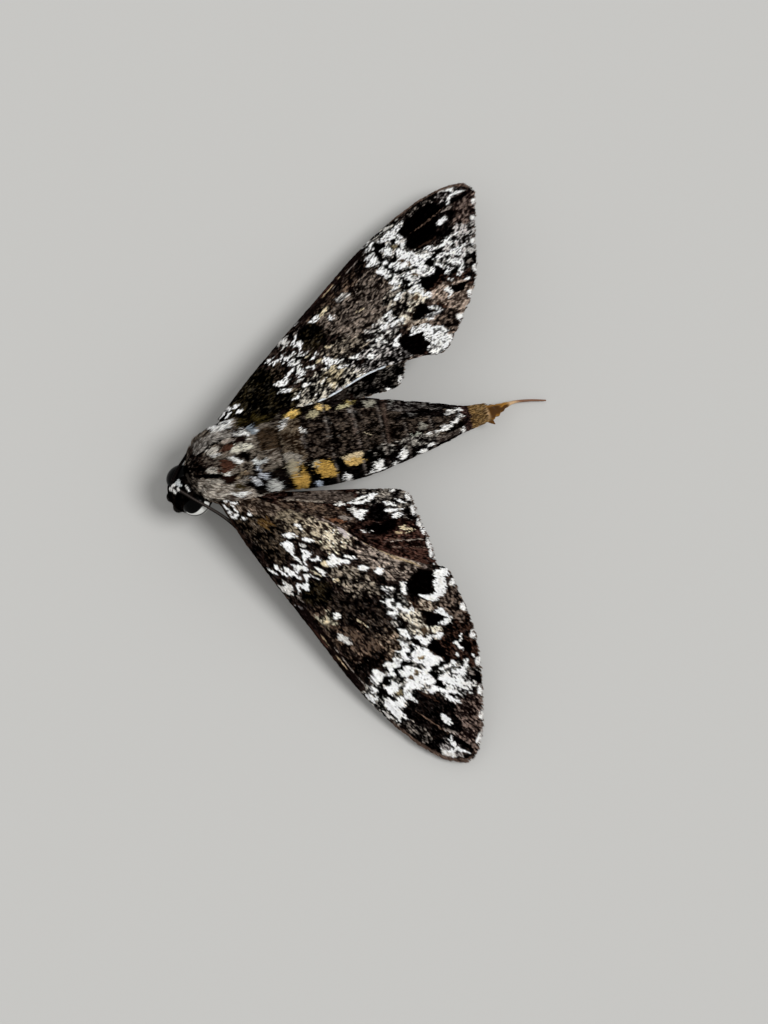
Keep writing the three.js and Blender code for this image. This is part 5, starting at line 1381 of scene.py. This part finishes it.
# ---- skin of the body and head ----
NECK_Y = -6.6  # everything before it is head
HEAD_HIND_Y = -4  # and nothing behind this
OUTSIDE_BODY = 1.02  # in units of the body's half width and half height
BODY_SHELL = (-6.7, 39.3, 150)  # first and last ring and how many there are
HEAD_SHELL = (-2.9, 3.2, 26)
SKIN_VOXEL = 0.26
SKIN_SHADE = 0.72  # the skin is darker than the fur that stands on it: painted shade under the fur


def remeshed(shells, voxel, rounds):
    """One closed skin over several overlapping shells, as points and faces. voxel is in mm."""
    mesh = bpy.data.meshes.new("shells")
    points, faces, start = [], [], 0
    for shell_points, shell_faces in shells:
        points.append(metres(shell_points))
        faces += [[int(i) + start for i in face] for kind in shell_faces for face in kind]
        start += len(shell_points)
    mesh.from_pydata(np.concatenate(points), [], faces)
    holder = bpy.data.objects.new("shells", mesh)
    bpy.context.scene.collection.objects.link(holder)
    remesh = holder.modifiers.new("one", "REMESH")
    remesh.mode = "VOXEL"
    remesh.voxel_size = voxel / 1000
    holder.modifiers.new("soften", "SMOOTH").iterations = rounds
    whole = holder.evaluated_get(bpy.context.evaluated_depsgraph_get()).to_mesh()
    found = np.empty(len(whole.vertices) * 3)
    whole.vertices.foreach_get("co", found)
    corners = np.empty(len(whole.loops), int)
    whole.loops.foreach_get("vertex_index", corners)
    sizes = np.array([len(face.vertices) for face in whole.polygons])
    starts = np.concatenate([[0], np.cumsum(sizes)[:-1]])
    kinds = [corners[starts[sizes == k][:, None] + np.arange(k)] for k in np.unique(sizes)]
    bpy.data.objects.remove(holder)
    bpy.data.meshes.remove(mesh)
    return found.reshape(-1, 3) * 1000 - SHIFT, kinds


def ring_shell(place_at, stations, sides):
    y, angle = np.meshgrid(stations, np.linspace(0, 2 * math.pi, sides, endpoint=False), indexing="ij")
    rings = place_at(y, angle)
    points, faces = closed_surface(rings, rings[[0, -1]].mean(1))
    return points, turned_over(faces)


def build_skin():
    body = ring_shell(skin_place, np.linspace(*BODY_SHELL), sides=72)
    head = ring_shell(head_place, np.linspace(*HEAD_SHELL), sides=48)
    points, faces = remeshed([body, head], SKIN_VOXEL, rounds=3)
    y = points[:, 1]
    on_head = (y < NECK_Y) | ((y < HEAD_HIND_Y) & (np.hypot(*body_offset(points)) > OUTSIDE_BODY))
    tone = np.where(on_head[:, None], paint_head(points), paint_body(y, arc(body_angle(points))))
    # painted shade: the skin under the fur carries the fur's markings, darkened
    tone = tone * SKIN_SHADE
    skin = add_piece("body_skin", points, faces, coat_material("skin", grain=5000, bump=0.5), tone)
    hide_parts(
        "head", "collar", "thorax", "tegula_l", "tegula_r", "tail_tuft",
        *[f"abdomen_{n + 1}" for n in range(len(ABDOMEN_JOINTS) - 1)],
    )


# ---- coat of the body ----
THORAX_GIRTH = 12.6  # half width and half height together, where the body is thickest
HEAD_CORE = (3.9, 3, 3.1)  # radii of the ellipsoid in the head that fur of the body would stick into


def body_roots(y_range, a_range, step_y, step_a, rng):
    """Staggered roots over a stretch of the body, thinned where it is slimmer, as (y, angle)."""
    y, a = np.meshgrid(np.arange(*y_range, step_y), np.arange(*a_range, step_a), indexing="ij")
    y = (y + rng.uniform(-0.5, 0.5, y.shape) * step_y).ravel()
    a = (a + rng.uniform(-0.5, 0.5, a.shape) * step_a).ravel()
    girth = (body_half_width(y) + body_half_height(y)) / THORAX_GIRTH
    keep = rng.uniform(0, 1, len(y)) < girth * 1.05
    return y[keep], math.pi / 2 - a[keep] / ARC_PER_RADIAN


def swirled(lie, normal, turn):
    side = unit(np.cross(lie, normal))
    return unit(lie * np.cos(turn)[:, None] + side * np.sin(turn)[:, None])


def body_coat(name, material, seed, y_range, a_range, steps, length, width, lift,
              rows=4, swirl=0.5, sag=0.12):
    """Fur or scales over a stretch of the body. steps lie between roots along y and a, and length is a
    number or a function of (y, a)."""
    rng = np.random.default_rng(seed)
    y, angle = body_roots(y_range, a_range, *steps, rng)
    place, lie, normal = surface_frame(skin_place, y, angle)
    keep = (place[:, 2] > 0.4) & (ellipsoid_reach(to_head(place), (0, 0, 0), HEAD_CORE) >= 1)
    y, angle, place, lie, normal = (values[keep] for values in (y, angle, place, lie, normal))
    count, a = len(y), arc(angle)
    eddies = (fractal(y * 0.55, a * 0.55, seed + 3) - 0.5) * 2 * swirl
    lie = swirled(lie, normal, eddies + rng.normal(0, 0.1, count))
    long = (length(y, a) if callable(length) else length) * rng.uniform(0.75, 1.2, count)
    share = np.linspace(0.2, 0.85, rows)[:, None]
    tip = place[:, None] + lie[:, None] * (long[:, None, None] * share)
    tone = paint_body(tip[..., 1], arc(body_angle(tip))) * rng.uniform(0.82, 1.12, (count, 1, 1))
    uv = np.stack([(y + 12) / 60, ((angle + math.pi / 2) / (2 * math.pi)) % 1], -1)
    coat = Coat(rows)
    coat.add(
        place - normal * 0.06, lie, normal,
        length=long, width=width * rng.uniform(0.8, 1.25, count), tone=tone, uv=uv,
        lift=lift * rng.uniform(0.6, 1.5, count), sag=sag, curl=rng.normal(0, 0.1, count),
        roll=rng.normal(0, 0.3, count), root_shade=0.72, tip_shade=1.08,
    )
    piece = coat.build(name, material)


def thorax_length(y, a):
    on_pad = window(np.abs(a), 3, 4, 7, 8.5)
    return 0.95 + 0.35 * smoothstep(-5.5, -2, y) + 0.5 * on_pad + 0.5 * smoothstep(3, 5, y)


def tuft_length(y, a):
    return 1.0 + 0.25 * smoothstep(36.2, 37.4, y)


def build_body_coat():
    fur = coat_material("fur", roughness=0.8, grain=7000)
    for letter, a_range, seed in (("l", (0, 11.3), 301), ("r", (-11.3, 0), 311)):
        body_coat(
            f"fur_thorax_{letter}", fur, seed, (-6.6, 8.9), a_range, (0.17, 0.135),
            length=thorax_length, width=0.125, lift=0.2,
        )
    body_coat(
        "fur_breast", fur, 302, (-6.4, 8.9), (11.0, 30.0), (0.26, 0.24),
        length=1.5, width=0.22, lift=0.25,
    )
    body_coat(
        "scales_abdomen", fur, 303, (8.8, 35.6), (-10.4, 10.4), (0.27, 0.165),
        length=0.85, width=0.24, lift=0.14, rows=3, swirl=0.22, sag=0.02,
    )
    body_coat(
        "scales_belly", fur, 304, (8.8, 35.6), (10.2, 30.8), (0.36, 0.24),
        length=0.95, width=0.3, lift=0.12, rows=3, swirl=0.15, sag=0.02,
    )
    body_coat(
        "tuft_tail", fur, 305, (34.9, 39.0), (-20.5, 20.5), (0.12, 0.36),
        length=tuft_length, width=0.16, lift=0.16, swirl=0.25, sag=0.05,
    )


# ---- the head's parts ----
def build_head():
    fur = coat_material("fur_face", roughness=0.8, grain=7000)
    build_face(fur)
    build_eyes()
    build_palps(fur)
    build_tongue()


def mirrored(place, side):
    return np.array([side * place[0], place[1], place[2]])


FACE_ROWS = (-2.9, 2.9, 0.13)  # first row of fur, end and step
FACE_ROUND = 190  # tufts in each row
INSIDE_BODY = 0.95
INSIDE_EYE = 0.97


def build_face(fur):
    """Short fur all over the head apart from the eyes and what lies inside the body."""
    rng = np.random.default_rng(401)
    y, angle = np.meshgrid(
        np.arange(*FACE_ROWS), np.linspace(0, 2 * math.pi, FACE_ROUND, endpoint=False), indexing="ij",
    )
    y = (y + rng.uniform(-0.06, 0.06, y.shape)).ravel()
    angle = (angle + rng.uniform(-0.015, 0.015, angle.shape)).ravel()
    place, lie, normal = surface_frame(head_place, y, angle)
    keep = (place[:, 1] < NECK_Y) | (np.hypot(*body_offset(place)) > INSIDE_BODY)
    for side in (1, -1):
        keep &= ellipsoid_reach(to_head(place), mirrored(EYE_OFFSET, side), EYE_RADII) >= INSIDE_EYE
    place, lie, normal, y, angle = (values[keep] for values in (place, lie, normal, y, angle))
    count = len(y)
    lie = swirled(lie, normal, (fractal(y, angle * 2, 402) - 0.5) * 0.8 + rng.normal(0, 0.15, count))
    length = (0.42 + 0.25 * smoothstep(0.5, 2.5, y)) * rng.uniform(0.75, 1.2, count)
    coat = Coat()
    coat.add(
        place - normal * 0.05, lie, normal, length=length, width=0.13 * rng.uniform(0.8, 1.2, count),
        tone=paint_head(place + lie * length[:, None] * 0.4) * rng.uniform(0.85, 1.1, (count, 1)),
        uv=np.stack([(y + 4) / 8, (angle / (2 * math.pi)) % 1], -1), lift=0.3, sag=0.15,
        curl=rng.normal(0, 0.1, count), tip_shade=1.06,
    )
    coat.build("fur_head", fur)


def on_sphere(latitude, longitude):
    return np.stack([
        np.cos(latitude) * np.cos(longitude), np.cos(latitude) * np.sin(longitude), np.sin(latitude),
    ], -1)


def ellipsoid(centre, radii, around, down):
    """Points and faces of an ellipsoid standing on its lower pole."""
    latitude, longitude = np.meshgrid(
        np.linspace(-math.pi / 2, math.pi / 2, down + 2)[1:-1],
        np.linspace(0, 2 * math.pi, around, endpoint=False), indexing="ij",
    )
    points, faces = closed_surface(on_sphere(latitude, longitude), [(0, 0, -1), (0, 0, 1)])
    return points * np.array(radii) + centre, faces


EYE_BLACK = (3, 3, 3)
# pale tone of the painted reflection of the light in the eyes
PAINTED_REFLECTION_TONE = (204, 204, 200)


def build_eyes():
    """Glossy black globes, each with a painted reflection of the light: a pale arc inside its outer rim,
    broader towards the rear. It lies high on the left eye and low on the right."""
    material = coat_material("eye", roughness=0.16, specular=0.05, bump=0.1)
    for letter, side, low, high in (("l", 1, -0.2, 1.0), ("r", -1, -0.5, 0.05)):
        centre = mirrored(EYE_OFFSET, side)
        points, faces = ellipsoid(centre, EYE_RADII, 110, 70)
        out, back, up = ((points - centre) / np.array(EYE_RADII)).T
        out = out * side
        # painted reflection: a pale arc standing for the light mirrored in the glossy eye
        inner = 0.91 - 0.25 * smoothstep(-0.85, 0.35, back)
        painted_reflection = window(np.hypot(out, back), inner, inner + 0.03, 0.975, 0.995)
        painted_reflection = painted_reflection * window(np.degrees(np.arctan2(back, out)), -76, -70, 50, 54)
        painted_reflection = painted_reflection * window(up, low, low + 0.06, high, high + 0.06)
        colours = blend(even(EYE_BLACK, out), PAINTED_REFLECTION_TONE, painted_reflection)
        eye = add_piece(f"eye_{letter}_globe", from_head(points), faces, material, colours)
        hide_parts(f"eye_{letter}")


PALP_TUFTS = 1500
PALP_DARK = (24, 24, 24)


def build_palps(fur):
    count = PALP_TUFTS
    radii = np.array(PALP_RADII)
    for letter, side in (("l", 1), ("r", -1)):
        rng = np.random.default_rng(410 + side)
        centre = mirrored(PALP_OFFSET, side)
        points, faces = ellipsoid(centre, radii * 0.9, 28, 18)
        dark = even(PALP_DARK, points[:, 0])
        core = add_piece(f"palp_{letter}_core", from_head(points), faces, fur, dark)
        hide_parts(f"palp_{letter}")
        latitude = np.arcsin(rng.uniform(-0.97, 0.97, count))
        longitude = rng.uniform(0, 2 * math.pi, count)
        out = on_sphere(latitude, longitude)
        normal = unit(out / radii)
        upward = even((0, -0.25, 1), latitude)
        lie = unit(upward - normal * (upward * normal).sum(-1, keepdims=True))
        shade = 22 + 56 * noise(longitude * 2, latitude * 3, 415) ** 2 + rng.uniform(-8, 12, count)
        coat = Coat()
        coat.add(
            from_head(centre + out * radii * 0.88), lie @ HEAD_TURN.T, normal @ HEAD_TURN.T,
            length=rng.uniform(0.35, 0.6, count), width=0.14, lift=0.3, sag=0.1,
            tone=shade[:, None] * np.array([1.0, 0.95, 0.9]),
            uv=np.stack([longitude / 7 + 0.05, latitude / 4 + 0.5], -1),
        )
        coat.build(f"fur_palp_{letter}", fur)


TONGUE_TONE = (112.0, 70, 38)


def build_tongue():
    """The coiled proboscis, finely ringed."""
    sides = 14
    n = np.linspace(0, 1, 160)
    turn = n * COIL_TURNS
    angle = turn * 2 * math.pi - math.pi / 2
    reach = COIL_RADIUS - turn * COIL_PITCH
    local = np.array(COIL_CENTRE) + np.stack([0 * n, np.cos(angle) * reach, np.sin(angle) * reach], -1)
    radius = TONGUE_RADIUS * (1 - 0.45 * n) * (1 + 0.06 * np.sin(n * 500))
    points, faces = tube_mesh(from_head(local), radius, radius, sides, up=HEAD_TURN[:, 0])
    shade = np.repeat(0.85 + 0.15 * np.sin(n * 250), sides)[:, None] * np.array(TONGUE_TONE)
    material = coat_material("tongue", roughness=0.35, specular=0.5, grain=3000)
    piece = add_piece("proboscis_coil", points, faces, material, with_ends(shade))
    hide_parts("proboscis")


# ---- antennae ----
SEGMENTS = 66
SEGMENT_RINGS = 5
ANTENNA_SLIMMING = 0.72  # the feelers are slimmer than their solids
FEELER_DARK = (19, 16, 15)
FEELER_PALE = (92, 86, 81)  # along the top
FEELER_JOINT = (30, 25, 23)


def build_antennae():
    material = coat_material("feeler", roughness=0.6, specular=0.02, grain=6000)
    sides = 12
    for letter, path in ANTENNA_PATHS.items():
        u = np.linspace(0, 1, SEGMENTS * SEGMENT_RINGS)
        ripple = (u * SEGMENTS) % 1
        radius = smooth(ANTENNA_RADIUS)(u) * ANTENNA_SLIMMING
        radius = radius * (0.86 + 0.16 * ripple ** 2) * smoothstep(1.04, 0.94, u)
        points, faces = tube_mesh(route(path, len(u)), radius, radius * 0.9, sides)
        angle = np.tile(np.linspace(0, 2 * math.pi, sides, endpoint=False), len(u))
        top = smoothstep(0.8, 0.98, np.sin(angle))
        colours = blend(even(FEELER_DARK, angle), FEELER_PALE, top * 0.7)
        if letter == "r":
            colours = blend(colours, BLACK, smoothstep(0.5, 0.3, np.repeat(u, sides)) * 0.95)
        colours = blend(colours, FEELER_JOINT, smoothstep(0.3, 0, np.repeat(ripple, sides)) * 0.7)
        piece = add_piece(f"antenna_{letter}_shaft", points, faces, material, with_ends(colours))
        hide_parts(f"antenna_{letter}")


# ---- legs ----
FOOT_RINGS = 22
LEG_TUFTS = 1500
LEG_SLIMMING = 0.8  # the shafts are slimmer than their solids, for the scales on them
LEG_BROWN = (72, 60, 52)
FOOT_PALE = (196, 184, 166)
SPUR_TONE = (70.0, 50, 36)
# Two spurs at the end of the shin and two claws: place along the leg, length, side.
SPURS = [(0.7, 1.1, 1), (0.7, 0.8, -1), (0.995, 0.42, 1), (0.995, 0.42, -1)]


def build_legs():
    material = coat_material("leg_scales", specular=0.2, grain=6000)
    sides = 12
    for index, (name, path) in enumerate(LEGS.items()):
        u = np.linspace(0, 1, 150)
        centres = route(path, len(u))
        foot = smoothstep(0.7, 0.74, u)
        rings = (u * FOOT_RINGS) % 1
        radius = smooth(LEG_RADIUS)(u) * (LEG_SLIMMING - 0.12 * foot * (1 - rings ** 2))
        points, faces = tube_mesh(centres, radius, radius, sides)
        points[:, 2] = np.maximum(points[:, 2], 0)
        band = np.repeat(smoothstep(0.75, 0.95, rings) * foot, sides)
        colours = blend(even(LEG_BROWN, band), FOOT_PALE, band * 0.8)
        shaft = add_piece(f"{name}_shaft", points, faces, material, with_ends(colours))
        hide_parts(name)
        rng = np.random.default_rng(500 + index)
        leg_coat(name, centres, radius, rings, rng, material)


SHIN_BROWN = (92, 79, 68)
SHIN_PALE = (188, 176, 158)
FOOT_RING = (200, 188, 170)


def leg_coat(name, centres, radius, rings, rng, material):
    """Scales along a leg, with its spurs and claws."""
    coat = Coat()
    count = LEG_TUFTS
    at = rng.uniform(0, 0.98, count)
    i = (at * (len(centres) - 1)).astype(int)
    along = unit(np.gradient(centres, axis=0))
    across = unit(np.cross(along, np.array([0, 0, 1.0])))
    over = np.cross(across, along)
    angle = rng.uniform(0, 2 * math.pi, count)
    normal = across[i] * np.cos(angle)[:, None] + over[i] * np.sin(angle)[:, None]
    shin = smoothstep(0.72, 0.66, at)
    tone = blend(even(SHIN_BROWN, at), SHIN_PALE, smoothstep(0.5, 0.75, noise(at * 30, angle, 520)))
    tone = blend(tone, FOOT_RING, smoothstep(0.75, 0.95, rings[i]) * (1 - shin))
    coat.add(
        centres[i] + normal * (radius[i] * 0.95)[:, None], along[i], normal,
        length=0.25 + 0.4 * shin, width=0.12 + 0.06 * shin, tone=tone * rng.uniform(0.8, 1.15, (count, 1)),
        uv=np.stack([at * 0.9 + 0.05, angle / (2 * math.pi)], -1), lift=0.16 + 0.1 * shin,
    )
    for spur_at, length, side in SPURS:
        k = int(spur_at * (len(centres) - 1))
        direction = unit(along[k] + across[k] * side * 0.45 - over[k] * 0.1)[None]
        coat.add(
            centres[k][None] + across[k] * side * radius[k] * 0.6, direction, over[k][None],
            length=length, width=0.2, tone=np.array([SPUR_TONE]), uv=np.array([[spur_at, 0.5]]),
            lift=0, sag=0, depth=0.6,
        )
    for points in coat.points:
        points[..., 2] = np.maximum(points[..., 2], 0)
    return coat.build(f"{name}_coat", material)


# ---- tail tip: a twisted husk that thins to a thread, with a prong beside it ----
TIP_HALF_WIDTH = [(0, 1.0), (0.15, 1.3), (0.4, 0.62), (0.55, 0.26), (0.8, 0.16), (1, 0.13)]
TIP_HALF_HEIGHT = [(0, 0.7), (0.2, 0.6), (0.4, 0.36), (0.55, 0.24), (0.8, 0.18), (1, 0.12)]
TIP_START = (0, 38.8, 4.3)
TIP_TWIST = math.radians(70)
TIP_DARK = (66, 42, 14)
TIP_AMBER = (150, 106, 44)
TIP_COLLAR = (168, 140, 108)  # where it leaves the tuft
THREAD_PALE = (176, 146, 112)
THREAD_BROWN = (112, 80, 62)
PRONG_TONE = (84, 54, 20)
PRONG = [(0.3, 39.3, 3.8), (0.8, 40.0, 3.2), (1.3, 40.5, 2.7), (1.7, 40.9, 2.4)]


def build_tail_tip():
    material = coat_material("tail_tip", roughness=0.5, specular=0.1, grain=2500, bump=0.6)
    sides = 24
    u = np.linspace(0, 1, 160)
    fold = 1 + 0.1 * np.sin(u * 60) * smoothstep(0.6, 0.4, u)
    half_width, half_height = smooth(TIP_HALF_WIDTH)(u) * fold, smooth(TIP_HALF_HEIGHT)(u) / fold
    centres = route([TIP_START, *TAIL_TIP], len(u))
    points, faces = tube_mesh(centres, half_width, half_height, sides, turn=TIP_TWIST * u)
    share = np.repeat(u, sides)
    angle = np.tile(np.linspace(0, 2 * math.pi, sides, endpoint=False), len(u))
    streak = noise(angle * 3, share * 5, 601)
    colours = blend(even(TIP_DARK, share), TIP_AMBER, smoothstep(0.45, 0.8, streak))
    colours = blend(colours, TIP_COLLAR, smoothstep(0.12, 0.08, share) * 0.8)
    colours = blend(colours, THREAD_PALE, smoothstep(0.42, 0.5, share))
    colours = blend(colours, THREAD_BROWN, smoothstep(0.6, 0.72, share + 0.1 * streak))
    thread = add_piece("tail_tip_thread", points, faces, material, with_ends(colours))
    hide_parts("tail_tip")
    taper = 1 - np.linspace(0, 1, 40) ** 2
    points, faces = tube_mesh(route(PRONG, len(taper)), 0.62 * taper + 0.05, 0.4 * taper + 0.04, 16)
    prong = add_piece("tail_tip_prong", points, faces, material, even(PRONG_TONE, points[:, 0]))


# ---- stage, light and camera ----
AIM = np.array([10.893, 21.078, 0])
CAMERA_PLACE = np.array([61.65, 9.36, 295.44])
IMAGE_TURN = math.radians(13)  # from the moth's own length to the picture's level line
LENS = 68.03
SENSOR = 36
FLOOR_SIZE = 6  # metres
FLOOR_TONE = (0.47, 0.466, 0.452, 1)
SUN_STRENGTH = 2.25
SUN_ANGLE = math.radians(24)
TOWARDS_SUN = (0.25, 0.75, 1.25)
SKY_TONE = (0.98, 0.98, 0.975, 1)
SKY_LIGHT = 0.62  # strength with which the surroundings light the moth
SKY_SEEN = 0.605  # and with which the camera sees them


def add_camera():
    back = Vector(CAMERA_PLACE - AIM).normalized()
    right = Vector((math.sin(IMAGE_TURN), math.cos(IMAGE_TURN), 0))
    right = (right - back * right.dot(back)).normalized()
    turn = Matrix((right, back.cross(right), back)).transposed().to_4x4()
    data = bpy.data.cameras.new("camera")
    data.sensor_fit = "VERTICAL"
    data.sensor_height = SENSOR
    data.lens = LENS
    camera = bpy.data.objects.new("camera", data)
    camera.matrix_world = Matrix.Translation(metres(CAMERA_PLACE)) @ turn
    bpy.context.scene.collection.objects.link(camera)
    bpy.context.scene.camera = camera


def add_floor():
    material, _, shader = new_material("floor", roughness=0.9, specular=0.2)
    set_inputs(shader, {"Base Color": FLOOR_TONE})
    bpy.ops.mesh.primitive_plane_add(size=FLOOR_SIZE, location=(0, 0, 0))
    floor = bpy.context.object
    floor.name = "floor"
    floor.data.materials.append(material)


def add_sun():
    sun = bpy.data.lights.new("key", "SUN")
    sun.energy = SUN_STRENGTH
    sun.angle = SUN_ANGLE
    lamp = bpy.data.objects.new("key", sun)
    lamp.rotation_mode = "QUATERNION"
    lamp.rotation_quaternion = Vector(TOWARDS_SUN).to_track_quat("Z", "Y")
    bpy.context.scene.collection.objects.link(lamp)


def add_sky():
    world = bpy.data.worlds.new("studio")
    world.use_nodes = True
    tree = world.node_tree
    background = tree.nodes["Background"]
    set_inputs(background, {"Color": SKY_TONE})
    rays = tree.nodes.new("ShaderNodeLightPath")
    level = tree.nodes.new("ShaderNodeMapRange")
    set_inputs(level, {"To Min": SKY_LIGHT, "To Max": SKY_SEEN})
    tree.links.new(rays.outputs["Is Camera Ray"], level.inputs["Value"])
    tree.links.new(level.outputs["Result"], background.inputs["Strength"])
    bpy.context.scene.world = world
    bpy.context.scene.view_settings.view_transform = "Standard"


# ---- the moth ----
TOP_SCALES = (0.205, 0.62)  # step and length of the scales on top of the wings
UNDER_SCALES = (0.34, 0.8)


def build_wings():
    material = coat_material("wing_scales", roughness=0.7)
    for (letter, pose), seed in zip(WING_ROOTS.items(), (100, 200)):
        for kind, outline, veins, painter, stations, chord in (
            ("fore", FOREWING, FORE_VEINS, paint_forewing, 230, 90),
            ("hind", HINDWING, HIND_VEINS, paint_hindwing, 120, 60),
        ):
            name = f"wing_{kind}_{letter}"
            wing = Wing(outline, veins, pose, kind == "hind")
            skin = wing_skin(f"{name}_skin", wing, painter, seed, stations, chord, material)
            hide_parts(f"wing_{kind}_{letter}")
            over = wing_scales(f"{name}_scales", wing, painter, seed, *TOP_SCALES, material)
            under = wing_scales(
                f"{name}_under", wing, paint_underside, seed + 9, *UNDER_SCALES, material, below=True,
            )


add_camera()
add_floor()
add_sun()
add_sky()
build_wings()
build_skin()
build_body_coat()
build_head()
build_antennae()
build_legs()
build_tail_tip()
